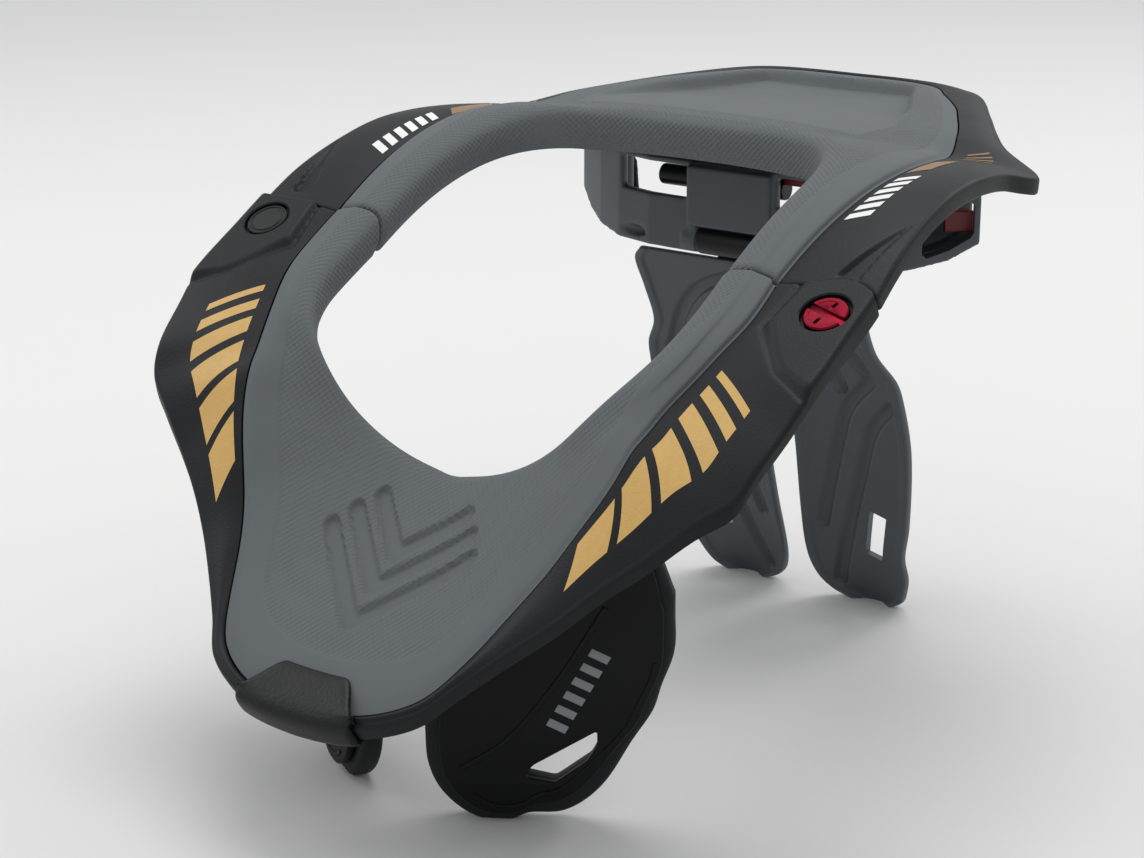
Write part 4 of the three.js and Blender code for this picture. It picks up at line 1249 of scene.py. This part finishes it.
@dataclass
class FrontHalf:
    """Front half: shell, pad and prints."""

    ring: Ring = field(default_factory=lambda: Ring(FRONT_ROWS, -138.0, -42.0, -140.0, -76.0))
    rib_depth: float = 2.1
    rib_half_width: float = 2.3
    rib_edge: float = 1.3
    rib_tips: Line = field(default_factory=lambda: [(-106.0, 33.0), (-93.0, 27.0), (-80.0, 20.0)])
    bar_start: float = 128.0
    bar_gap: float = 4.5
    bar_lean: float = -11.0
    bar_span: tuple[float, float] = (0.14, 0.66)
    bar_widths: tuple[float, ...] = (21.0, 16.0, 12.0, 8.5, 5.5, 3.5)

    def ribs(self, points: Points) -> tuple[Points, Points]:
        """Return the depth of the nested moulded ribs of the pad and where it is smooth.

        Args:
            points: Points of the pad.

        Returns:
            Depths in millimetres, and shares from 0 to 1.
        """
        plan = np.stack([np.abs(points[..., 0]), points[..., 1]], axis=-1)
        depth = np.zeros(points.shape[:2])
        for tip, reach in self.rib_tips:
            line = [(0.0, tip), (reach, tip + 0.85 * reach)]
            away = line_distance(plan, line)
            wall = smooth_step(self.rib_half_width, self.rib_half_width + self.rib_edge, away)
            depth = np.maximum(depth, 1 - wall)
        return depth * self.rib_depth, depth

    def band(self, points: Points) -> Points:
        """Return the width of the smooth band along the seam."""
        return np.interp(points[..., 1], [-138, -105, -60, 0], [25, 20, 15, 11.5])

    def margin(self, points: Points) -> Points:
        """Return how far points lie inside the pad's stretch."""
        return SPLIT_OFFSET - SPLIT_GAP - points[..., 1]

    def build(self) -> None:
        """Build the front half."""
        shell = Maker.loft(
            "front_shell_moulded", Shell(self.ring, front_margin, ear_weight=1).grid(), SHELL_PP, "front")
        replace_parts(shell, "front_shell")
        Pivot().recess(shell)
        Pad(self.ring, self.margin, self.band, self.ribs).build("front_pad_foam", "front_pad", "front")
        stripes = Stripes(self.ring, "front")
        for side in Side:
            start = self.bar_start
            for i, width in enumerate(self.bar_widths):
                name = f"front_bar_{side.name.lower()}_{i + 1}"
                stripes.bar(name, GOLD_INK, side, start, width, self.bar_span, self.bar_lean)
                start += width + self.bar_gap


@dataclass
class RearHalf:
    """Rear half: shell, pad with its sunk table, and prints."""

    ring: Ring = field(default_factory=lambda: Ring(REAR_ROWS, 252.0, 114.0, 41.0, 33.0))
    table: Line = field(default_factory=lambda: [
        (-39, 233), (-62, 188), (-74, 150), (-70, 128), (70, 128), (74, 150), (62, 188), (39, 233)])
    table_depth: float = 6.5
    pocket: Line = field(default_factory=lambda: [(127.0, 18.0), (136.5, 17.0), (141.0, 54.0)])
    pocket_depth: float = 1.8
    dash_start: float = 268.0
    dash_step: float = 7.2
    line_start: float = 176.0
    line_step: float = 4.4

    def sunk(self, points: Points) -> tuple[Points, Points]:
        """Return the depth of the table behind the neck and where the pad is smooth.

        Args:
            points: Points of the pad.

        Returns:
            Depths in millimetres, and shares from 0 to 1.
        """
        inside = depth_inside(points[..., :2], self.table)
        fade = smooth_step(124, 205, points[..., 1])
        depth = self.table_depth * fade * smooth_step(-0.8, 4.2, inside)
        return depth, smooth_step(-0.5, 1.0, inside)

    def band(self, points: Points) -> Points:
        """Return the width of the smooth band along the seam."""
        return np.interp(points[..., 1], [12, 60, 110, 160, 250], [12.5, 14, 13, 7, 6])

    def margin(self, points: Points) -> Points:
        """Return how far points lie inside the pad's stretch."""
        return points[..., 1] - SPLIT_OFFSET - SPLIT_GAP

    def build(self) -> None:
        """Build the rear half."""
        shell = Shell(self.ring, rear_margin)
        grid = self.pockets(shell.grid())
        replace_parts(Maker.loft("rear_shell_moulded", grid, SHELL_PP, "rear"), "rear_shell")
        Pad(self.ring, self.margin, self.band, self.sunk).build("rear_pad_foam", "rear_pad", "rear")
        self.prints()

    def pockets(self, grid: Points) -> Points:
        """Return the shell's points with the triangular pockets near the split pressed in.

        Args:
            grid: Points of the shell.

        Returns:
            The points, moved.
        """
        plan = np.stack([np.abs(grid[..., 0]), grid[..., 1]], axis=-1)
        upper = np.arange(grid.shape[1]) < 46
        fade = 1 - 0.6 * smooth_step(20, 54, grid[..., 1])
        depth = self.pocket_depth * fade * smooth_step(-0.4, 1.2, depth_inside(plan, self.pocket)) * upper
        return grid - grid_normals(grid) * depth[..., None]

    def prints(self) -> None:
        """Print the plain bars of both arms."""
        stripes = Stripes(self.ring, "rear")
        for side in Side:
            name = side.name.lower()
            for i in range(6):
                start = self.dash_start - self.dash_step * i
                stripes.bar(f"rear_dash_{name}_{i + 1}", WHITE_INK, side, start, 4.4, (0.1, 0.38), -4.0)
            stripes.bar(f"rear_bar_{name}", BRONZE_INK, side, 196.0, 28.0, (0.05, 0.32), -7.0)
            for i in range(4):
                start = self.line_start - self.line_step * i
                stripes.bar(f"rear_line_{name}_{i + 1}", BRONZE_INK, side, start, 1.6, (0.18, 0.5), -7.0)


@dataclass
class Pivot:
    """Screw of the opening pivot and the plug of the other ear."""

    screw_radius: float = 8.6
    plug_radius: float = 8.8
    recess_gap: float = 1.2
    head: float = 2.6
    sink: float = 0.4
    slot_half_width: float = 1.5
    slot_depth: float = 1.2
    slot_turn: float = math.radians(-107)

    @staticmethod
    def matrix(side: Side) -> Matrix:
        """Return the place of an ear's pivot."""
        return Matrix.Translation((side.value * PIVOT_X, 0, PIVOT_Z)) @ Matrix.Rotation(PIVOT_TILT, 4, "X")

    def recess(self, shell: bpy.types.Object) -> None:
        """Cut the recesses of both ears, and the corner that the rear half sweeps as it opens.

        Args:
            shell: Shell of the front half, which is changed.
        """
        for side, radius in ((Side.LEFT, self.screw_radius), (Side.RIGHT, self.plug_radius)):
            wall = radius + self.recess_gap
            floor = EAR_RISE - self.head
            profile = [
                (0, floor), (wall, floor), (wall, EAR_RISE - 0.5), (wall + 4, EAR_RISE + 3.5),
                (0, EAR_RISE + 3.5)]
            Maker.cut(shell, turned("recess_tool", profile, self.matrix(side)))
        corner = block("corner_tool", (0, 0, -40), (60, 60, 40), self.matrix(Side.LEFT))
        ear = [(0, -50), (EAR_RADIUS, -50), (EAR_RADIUS, 50), (0, 50)]
        Maker.cut(corner, turned("ear_tool", ear, self.matrix(Side.LEFT)))
        Maker.cut(shell, corner)
        shell.data.set_sharp_from_angle(angle=math.radians(38))

    def build(self) -> None:
        """Build the screw and the plug."""
        top = EAR_RISE - self.sink
        radius = self.screw_radius
        profile = [
            (0, top - 2.2), (radius - 0.1, top - 2.2), (radius, top - 2.1), (radius, top - 0.75),
            (radius - 0.25, top - 0.3), (radius - 0.75, top), (radius - 2.2, top),
            (radius - 2.5, top - 0.18), (0, top - 0.18)]
        screw = turned("pivot_screw_turned", profile, self.matrix(Side.LEFT))
        turn = self.matrix(Side.LEFT) @ Matrix.Rotation(self.slot_turn, 4, "Z")
        half, floor = self.slot_half_width, top - self.slot_depth
        Maker.cut(screw, block("coin_slot", (-half, -12, floor), (half, 12, top + 1), turn))
        for way in (-1, 1):
            low, high = sorted((way * 3.3, way * 6.0))
            Maker.cut(screw, block("key_slot", (low, -0.7, floor), (high, 0.7, top + 1), turn))
        edge = screw.modifiers.new("edge", "BEVEL")
        edge.width = 0.14 * MM
        edge.segments = 2
        edge.limit_method = "ANGLE"
        edge.angle_limit = math.radians(40)
        Maker.apply(screw)
        Maker.dress(screw, RED_ANODISED, "front", 30)
        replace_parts(screw, "pivot_screw")
        radius = self.plug_radius
        profile = [
            (0, top - 2.0), (radius, top - 2.0), (radius, top - 0.5), (radius - 0.4, top - 0.1),
            (radius - 0.9, top - 0.1), (radius - 1.3, top - 0.55), (radius - 1.9, top - 0.6),
            (radius - 2.4, top - 0.15), (0, top - 0.05)]
        plug = turned("pivot_plug_moulded", profile, self.matrix(Side.RIGHT))
        Maker.dress(plug, ACETAL, "front", 40)
        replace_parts(plug, "pivot_plug")


@dataclass
class ChestWing:
    """A chest wing: stiff panel, rubber pad behind it, crease and printed dashes."""

    side: Side
    offset: float = 71.0
    inset: float = 36.0
    angle: float = math.radians(31)
    size: float = 93.0
    panel: float = 3.2
    pad: float = 9.0
    margin: float = 6.0

    EDGE = [
        (-0.26, 0.4), (-0.25, 0.24), (-0.205, 0.13), (-0.12, 0.043), (-0.03, 0), (0.09, 0), (0.16, 0.03),
        (0.29, 0.043), (0.38, 0.09), (0.47, 0.18), (0.575, 0.36), (0.66, 0.5), (0.69, 0.6), (0.74, 0.75),
        (0.74, 0.9),
    ]
    SLOT = [(0.15, 0.21), (0.18, 0.26), (0.44, 0.42), (0.44, 0.36), (0.4, 0.29), (0.27, 0.19)]

    def matrix(self) -> Matrix:
        """Return the place of the wing's plane: along it, up and out of its front."""
        cos, sin, way = math.cos(self.angle), math.sin(self.angle), self.side.value
        return Matrix((
            (way * cos, 0, way * sin, way * self.inset),
            (sin, 0, -cos, -self.offset),
            (0, 1, 0, 0),
            (0, 0, 0, 1)))

    def top(self, node: str, height: float) -> Points:
        """Return the top edge of a CAD node of the wing, from its outer end inwards.

        Args:
            node: The node.
            height: Height of the face above the wing's plane on which the edge is read.

        Returns:
            Points in the wing's plane.
        """
        corners = np.array([v.co[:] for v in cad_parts[node].data.vertices]) / MM
        corners[:, 1] -= SHIFT_Y
        back = np.array(self.matrix().inverted())
        local = corners @ back[:3, :3].T + back[:3, 3]
        face = local[(np.abs(local[:, 2] - height) < 0.3) & (local[:, 1] > 0.86 * self.size)]
        face = face[np.argsort(-face[:, 0])]
        keep = np.concatenate([[True], np.abs(np.diff(face[:, 0])) > 0.5])
        return face[keep][:, :2]

    def shrunk(self, points: Points, margin: float) -> Points:
        """Return an outline drawn in towards its middle.

        Args:
            points: Corners of the outline.
            margin: How far they move.

        Returns:
            The moved corners.
        """
        middle = points.mean(axis=0)
        arm = points - middle
        length = np.linalg.norm(arm, axis=1, keepdims=True)
        return middle + arm * (length - margin) / length

    def smooth(self, points: Points, count: int, closed: bool = False) -> Points:
        """Return a smooth line through points.

        Args:
            points: Points that the line passes.
            count: How many points it gets.
            closed: Whether it ends where it starts.

        Returns:
            Points along the line.
        """
        if closed:
            looped = np.vstack([points[-2:], points, points[:2]])
            where = np.linspace(2, len(points) + 2, count, endpoint=False) / (len(looped) - 1)
            return through(looped, where)
        return through(points, np.linspace(0, 1, count))

    def outline(self, node: str, height: float, margin: float) -> Points:
        """Return the whole outline of one layer of the wing.

        Args:
            node: CAD node of the layer.
            height: Height of its face over the wing's plane.
            margin: How far its edge lies inside the rubber's.

        Returns:
            Corners of the outline.
        """
        edge = self.smooth(self.shrunk(np.array(self.EDGE) * self.size, margin), 110)
        edge[:, 1] = np.maximum(edge[:, 1], 0)
        top = self.top(node, height)
        top = top[(top[:, 0] < edge[-1, 0] - 0.5) & (top[:, 0] > edge[0, 0] + 0.5)]
        top = self.smooth(np.vstack([edge[-1:] + [[0, 8]], top]), 60) if len(top) > 2 else top
        return np.vstack([edge, top[np.r_[True, np.linalg.norm(np.diff(top, axis=0), axis=1) > 0.1]]])

    def slot(self, growth: float) -> Points:
        """Return the strap slot, with rounded corners.

        Args:
            growth: How far it is widened.

        Returns:
            Corners of the slot.
        """
        corners = self.shrunk(np.array(self.SLOT) * self.size, -growth)
        found = []
        for before, corner, after in zip(np.roll(corners, 1, 0), corners, np.roll(corners, -1, 0)):
            for share in np.linspace(0, 1, 7):
                radius = 1.6
                start = corner + (before - corner) / np.linalg.norm(before - corner) * radius
                end = corner + (after - corner) / np.linalg.norm(after - corner) * radius
                found.append((1 - share) ** 2 * start + 2 * share * (1 - share) * corner + share ** 2 * end)
        return np.array(found)

    def build(self) -> None:
        """Build the wing."""
        name = self.side.name.lower()
        matrix = self.matrix()
        node = f"chest_wing_{name}"
        panel = Maker.plate(
            f"{node}_panel", self.outline(node, self.panel, self.margin), [self.slot(0)], 0.0,
            self.panel, 0.8, matrix, PANEL_PP, "front")
        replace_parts(panel, node)
        node = f"chest_wing_pad_{name}"
        low = -FIT_GAP - self.pad
        pad = Maker.plate(
            f"{node}_rubber", self.outline(node, -FIT_GAP, 0), [self.slot(1)], low, -FIT_GAP, 2.6,
            matrix, RUBBER, "front")
        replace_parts(pad, node)
        self.details(matrix, name)

    def strip(self, line: Points, half: float) -> Points:
        """Return the outline of a narrow strip along a line.

        Args:
            line: Points along the middle of the strip.
            half: Half its width.

        Returns:
            Corners of the outline.
        """
        run = np.gradient(line, axis=0)
        run /= np.linalg.norm(run, axis=1, keepdims=True)
        across = np.column_stack([-run[:, 1], run[:, 0]]) * half
        return np.vstack([line + across, (line - across)[::-1]])

    def details(self, matrix: Matrix, name: str) -> None:
        """Add the raised crease, the raised border and the printed dashes.

        Args:
            matrix: Place of the wing's plane.
            name: Side of the wing, for the names of the pieces.
        """
        crease = self.smooth(np.array([(-10.0, 22.0), (6.0, 33.0), (26.0, 58.0), (44.0, 88.0)]), 40)
        Maker.plate(
            f"chest_wing_crease_{name}", self.strip(crease, 1.1), [], self.panel - 0.3,
            self.panel + 0.5, 0.35, matrix, PANEL_PP, "front")
        border = self.smooth(self.shrunk(np.array(self.EDGE) * self.size, self.margin + 4.5), 90)[16:86]
        Maker.plate(
            f"chest_wing_border_{name}", self.strip(border, 0.8), [], self.panel - 0.3,
            self.panel + 0.45, 0.3, matrix, PANEL_PP, "front")
        for i in range(6):
            base = np.array([22.0 + 3.1 * i, 41.0 + 5.6 * i])
            run, lean = np.array([1.35, 2.45]), np.array([7.0, -3.2])
            corners = np.array([base, base + lean, base + lean + run * 1.15, base + run * 1.15])
            Maker.plate(
                f"chest_wing_dash_{name}_{i + 1}", corners, [], self.panel - 0.2, self.panel + 0.08, 0.02,
                matrix, GREY_INK, "front")


@dataclass
class BackStrut:
    """Two-legged strut for the back, with pressed channels."""

    height: float = 168.5
    half_width: float = 66.0
    lean: float = 70.0
    start: float = 150.0
    thickness: float = 5.0
    curl: float = 5.0
    notch: float = 7.9
    notch_top: float = 121.0
    rows: int = 230
    columns: int = 78
    channel_depth: float = 2.4
    channel_floor: float = 1.5
    channel_wall: float = 3.8
    panel_depth: float = 0.9
    edge_radius: float = 1.6

    # Shares of height, way back and outer edge, from the top down.
    OUTER = [
        (1.0, 0.02, 0.8), (0.965, 0.06, 0.87), (0.88, 0.16, 0.86), (0.78, 0.29, 0.87), (0.7, 0.39, 0.98),
        (0.64, 0.45, 1.0), (0.5, 0.56, 1.01), (0.28, 0.71, 0.94), (0.17, 0.8, 0.87), (0.11, 0.86, 0.87),
        (0.06, 0.92, 0.83), (0.024, 0.97, 0.78), (0, 1.0, 0.68),
    ]
    # Shares of height and inner edge, from the notch down.
    INNER = [
        (0.66, 0.12), (0.5, 0.12), (0.28, 0.10), (0.17, 0.09), (0.11, 0.10), (0.06, 0.14), (0.024, 0.22),
        (0, 0.36),
    ]
    CHANNELS = [
        [(16, 40), (30, 85), (37, 102), (52, 118)],
        [(19, 9), (38, 65), (49, 94), (60, 106)],
        [(8, 160), (26, 152), (40, 138), (50, 121)],
        [(8, 147), (22, 140), (31, 128), (36, 112)],
    ]

    def levels(self) -> Points:
        """Return the heights of the rows, close together at the foot and the notch."""
        spread = np.linspace(0, 1, self.rows)
        return self.height * (0.5 - 0.5 * np.cos(math.pi * spread)) ** 0.8

    def shape(self, z: Points) -> tuple[Points, Points, Points]:
        """Return the way back, the inner edge and the outer edge at some heights.

        Args:
            z: Heights.

        Returns:
            Three lines of numbers, one number for each height.
        """
        outer = through(np.array(self.OUTER), np.linspace(0, 1, 900))[::-1]
        inner = through(np.array(self.INNER), np.linspace(0, 1, 600))[::-1]
        share = z / self.height
        back = np.interp(share, outer[:, 0], outer[:, 1])
        out = np.interp(share, outer[:, 0], outer[:, 2]) * self.half_width
        within = np.interp(share, inner[:, 0], inner[:, 1]) * self.half_width
        round_from = self.notch_top - self.notch
        arc = np.sqrt(np.clip(self.notch ** 2 - np.clip(z - round_from, 0, None) ** 2, 0, None))
        within = np.where(z > round_from, arc, within)
        return self.start + back * self.lean, within, out

    def relief(self, x: Points, z: Points, inner: Points, outer: Points) -> Points:
        """Return how deep the front face is pressed in.

        Args:
            x: Ways out from the middle.
            z: Heights.
            inner: Inner edge at each height.
            outer: Outer edge at each height.

        Returns:
            One depth for each point.
        """
        where = np.stack([np.abs(x), z], axis=-1)
        depth = np.zeros(x.shape)
        for channel in self.CHANNELS:
            line = through(np.array(channel, float), np.linspace(0, 1, 24))
            wall = smooth_step(self.channel_floor, self.channel_wall, line_distance(where, line.tolist()))
            depth = np.maximum(depth, self.channel_depth * (1 - wall))
        border = np.minimum(outer - x, np.where(inner > 0.01, x - inner, 99))
        return depth * smooth_step(4.0, 8.0, border) + self.panel_depth * smooth_step(4.0, 5.4, border)

    def half(self) -> tuple[Points, list[list[int]]]:
        """Return the points and faces of the half on the wearer's left.

        Returns:
            Points, and faces as lists of corners.
        """
        z = self.levels()
        back, inner, outer = self.shape(z)
        share = 0.5 - 0.5 * np.cos(np.linspace(0, math.pi, self.columns))
        share = 0.65 * share + 0.35 * np.linspace(0, 1, self.columns)
        x = inner[:, None] + (outer - inner)[:, None] * share
        level = np.repeat(z[:, None], self.columns, axis=1)
        bow = -self.curl * (2 * share[None, :] - 1) ** 2 * (1 - z[:, None] / self.height)
        wide = np.clip(outer - inner, 1e-6, None)[:, None]
        from_inner = share[None, :] * wide + np.where(inner[:, None] > 0.01, 0, 99)
        edge = np.minimum(from_inner, (1 - share)[None, :] * wide)
        edge = np.minimum(edge, np.minimum(level + 99, self.height - level))
        soft = self.edge_radius
        round_off = np.where(edge < soft, soft - np.sqrt(np.clip(soft ** 2 - (soft - edge) ** 2, 0, None)), 0)
        front_y = back[:, None] + bow + self.relief(x, level, inner[:, None], outer[:, None]) + round_off
        rear_y = back[:, None] + bow + self.thickness - round_off
        front = np.stack([x, front_y, level], axis=-1)
        rear = np.stack([x, rear_y, level], axis=-1)
        grid = np.concatenate([front, rear[:, ::-1]], axis=1)
        count = grid.shape[1]
        index = np.arange(grid.shape[0] * count).reshape(grid.shape[0], count)
        faces = []
        for row in range(grid.shape[0] - 1):
            for column in range(count):
                after = (column + 1) % count
                if column == count - 1 and inner[row] <= 0.01 and inner[row + 1] <= 0.01:
                    continue
                faces.append([
                    index[row, column], index[row, after], index[row + 1, after], index[row + 1, column]])
        faces += [index[0].tolist(), index[-1][::-1].tolist()]
        return grid.reshape(-1, 3), [[int(i) for i in face] for face in faces]

    def build(self) -> None:
        """Build the strut."""
        points, faces = self.half()
        mirrored = points * [-1, 1, 1]
        both = np.vstack([points, mirrored])
        all_faces = faces + [[i + len(points) for i in face[::-1]] for face in faces]
        strut = Maker.mesh("strut_moulded", both, all_faces, NYLON, "strut")
        work = bmesh.new()
        work.from_mesh(strut.data)
        bmesh.ops.remove_doubles(work, verts=work.verts, dist=0.01 * MM)
        bmesh.ops.recalc_face_normals(work, faces=work.faces)
        work.to_mesh(strut.data)
        work.free()
        for side in Side:
            out, up = side.value * 0.655 * self.half_width, 0.225 * self.height
            middle = Matrix.Translation((out, HINGE_OFFSET + 55, up))
            turn = middle @ Matrix.Rotation(side.value * 0.24, 4, "Y")
            Maker.cut(strut, block("strap_slot", (-4.5, -40, -12), (4.5, 40, 12), turn))
        strut.data.set_sharp_from_angle(angle=math.radians(40))
        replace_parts(strut, "strut")


@dataclass
class Carrier:
    """Carrier of the strut with its clips, adjuster, barrel and pin."""

    voxel: float = 0.85
    corner: tuple[float, float] = (79.6, 159.3)
    turn: float = math.atan2(17.7, 22.4)
    mouth: Line = field(default_factory=lambda: [
        (4.5, 181.0), (6.5, 179.5), (16.0, 183.0), (24.5, 188.0), (26.0, 190.5), (26.0, 201.5), (24.0, 203.5),
        (8.0, 205.5), (4.5, 203.0)])

    def open_end(self, carrier: bpy.types.Object) -> None:
        """Cut the mouth in the carrier's end on the wearer's left, where its clip shows.

        Args:
            carrier: The carrier, which is changed.
        """
        place = Matrix.Translation((*self.corner, 0)) @ Matrix.Rotation(self.turn, 4, "Z")
        mesh = bpy.data.meshes.new("mouth_tool")
        work = bmesh.new()
        face = work.faces.new([work.verts.new((along, -3, z)) for along, z in self.mouth])
        pushed = bmesh.ops.extrude_face_region(work, geom=[face])["geom"]
        for vertex in (item for item in pushed if isinstance(item, bmesh.types.BMVert)):
            vertex.co.y = 7
        bmesh.ops.recalc_face_normals(work, faces=work.faces)
        work.to_mesh(mesh)
        work.free()
        Maker.cut(carrier, linked("mouth_tool", placed(mesh, place)))
        carrier.data.set_sharp_from_angle(angle=math.radians(50))

    def build(self) -> None:
        """Build the carrier and dress what it holds."""
        self.open_end(Maker.moulding("rear_carrier", NYLON, "rear", self.voxel, 4))
        for side in Side:
            Maker.moulding(f"carrier_clip_{side.name.lower()}", RED_ACETAL, "rear", 0.4, 4)
        Maker.moulding("adjuster_slider", RED_ACETAL, "rear", 0.4, 4)
        Maker.moulding("adjuster_rod", ACETAL, "rear", 0.5, 4)
        Maker.moulding("strut_barrel", ACETAL, "strut", 0.5, 5)
        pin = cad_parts["hinge_pin"]
        pin.data.materials.clear()
        pin.data.materials.append(STEEL.material())


@dataclass
class NoseClip:
    """Clip over the nose of the front half."""

    ring: Ring
    half_width: float = 27.0
    reach: float = 17.0

    def section(self, across: float) -> Points:
        """Return the clip's section at a distance from the middle, as ways out and heights.

        Args:
            across: Distance from the middle.

        Returns:
            Corners of the closed section.
        """
        share = abs(across) / self.half_width
        reach = self.reach * (1 - smooth_step(0.5, 1.06, np.array(share)))
        low = -10.4 + 1.2 * share
        outer = np.array([
            (-5.5, low), (-1.5, low - 0.1), (1.6, low + 0.6), (2.9, low + 2.6), (3.3, -3.6), (3.1, 0.4),
            (1.9, 2.7), (-0.8, 4.0), (-0.45 * reach - 1.5, 4.7), (-reach - 1.4, 4.0), (-reach - 1.9, 3.0)])
        inner = np.array([
            (-reach - 1.6, 2.4), (-4.0, 2.0), (0.35, 1.6), (0.35, -7.85), (-5.3, -7.85), (-6.0, -8.6)])
        smooth = through(outer, np.linspace(0, 1, 44))
        return np.vstack([smooth, inner])

    def build(self) -> None:
        """Build the clip."""
        ends = np.array([0.95, 0.98, 0.995, 1])
        places = np.concatenate([-ends[::-1], np.linspace(-0.91, 0.91, 41), ends])
        rows = []
        ring, middle = self.ring, SAMPLES // 2
        rim = ring.place(ring.reach, np.zeros(SAMPLES))[::-1]
        for place in places * self.half_width:
            section = self.section(place)
            edge = np.array([place, *(np.interp(place, rim[:, 0], rim[:, axis]) for axis in (1, 2))])
            points = edge + ring.across[middle] * section[:, :1] + ring.rise[middle] * section[:, 1:]
            points[:, 0] = place
            rows.append(points)
        grid = rounded_ends(np.array(rows), (0, 0.14, 0.55), 1.1)
        clip = Maker.loft("nose_latch_moulded", grid, LATCH_NYLON, "front")
        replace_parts(clip, "nose_latch")


@dataclass
class Studio:
    """Pale floor, soft lights and the camera."""

    floor_colour: str = "#dededc"
    world_colour: str = "#f2f3f5"
    world_strength: float = 0.78
    focal_mm: float = 80.2
    azimuth: float = math.radians(36.473)
    elevation: float = math.radians(16.711)
    eye: Spot = (581.21, -756.03, 416.22)
    lights: tuple[tuple[str, Spot, Spot, float, float], ...] = (
        ("softbox_above", (-0.3, 0.5, 2.4), (0, 0.1, 0.1), 1.6, 20.0),
        ("softbox_left", (-1.6, -0.4, 1.4), (0, 0, 0.12), 0.9, 6.0),
        ("softbox_behind", (0.5, 2.0, 1.6), (0, 0.05, 0.15), 1.0, 10.0),
    )

    def floor(self) -> None:
        """Lay the floor."""
        mesh = bpy.data.meshes.new("studio_floor")
        size = 12.0
        corners = [(-size, -size, 0), (size, -size, 0), (size, size, 0), (-size, size, 0)]
        mesh.from_pydata(corners, [], [[0, 1, 2, 3]])
        paper = Finish(
            "floor_matt_paper", "floor", self.floor_colour, 0.7, 1.45, mottle=0.01, mottle_mm=300.0)
        mesh.materials.append(paper.material())
        linked("studio_floor", mesh)

    def light(self, name: str, place: Spot, target: Spot, size: float, watts: float) -> None:
        """Hang one soft light.

        Args:
            name: Name of the light.
            place: Where it hangs, in metres.
            target: Where it points.
            size: Width of its face.
            watts: Its power.
        """
        lamp = bpy.data.lights.new(name, "AREA")
        lamp.shape = "DISK"
        lamp.size = size
        lamp.energy = watts
        holder = linked(name, lamp)
        away = Matrix.Translation(place).to_translation() - Matrix.Translation(target).to_translation()
        holder.matrix_world = Matrix.Translation(place) @ away.to_track_quat("Z", "Y").to_matrix().to_4x4()

    def camera(self) -> None:
        """Set the camera at the photograph's angle."""
        lens = bpy.data.cameras.new("camera")
        lens.lens = self.focal_mm
        lens.sensor_width = 36.0
        camera = linked("camera", lens)
        sin_a, cos_a = math.sin(self.azimuth), math.cos(self.azimuth)
        sin_e, cos_e = math.sin(self.elevation), math.cos(self.elevation)
        back = np.array([sin_a * cos_e, -cos_a * cos_e, sin_e])
        right = np.array([cos_a, sin_a, 0])
        upward = np.cross(back, right)
        matrix = np.eye(4)
        matrix[:3, 0], matrix[:3, 1], matrix[:3, 2] = right, upward, back
        matrix[:3, 3] = to_frame(np.array(self.eye))
        camera.matrix_world = Matrix(matrix.tolist())
        bpy.context.scene.camera = camera

    def build(self) -> None:
        """Build the studio."""
        self.floor()
        world = bpy.data.worlds.new("studio_world")
        world.use_nodes = True
        sky = world.node_tree.nodes["Background"]
        sky.inputs["Color"].default_value = linear(self.world_colour)
        sky.inputs["Strength"].default_value = self.world_strength
        bpy.context.scene.world = world
        bpy.context.scene.view_settings.view_transform = "Standard"
        for setting in self.lights:
            self.light(*setting)
        self.camera()


def main() -> None:
    """Build the brace and the studio."""
    logging.basicConfig(level=logging.INFO, format="%(name)s %(message)s")
    front = FrontHalf()
    for piece in (
        Studio(), front, RearHalf(), Pivot(), NoseClip(front.ring), ChestWing(Side.LEFT),
        ChestWing(Side.RIGHT), Carrier(), BackStrut(),
    ):
        piece.build()
        log.info("built %s", type(piece).__name__)


if __name__ == "__main__":
    main()
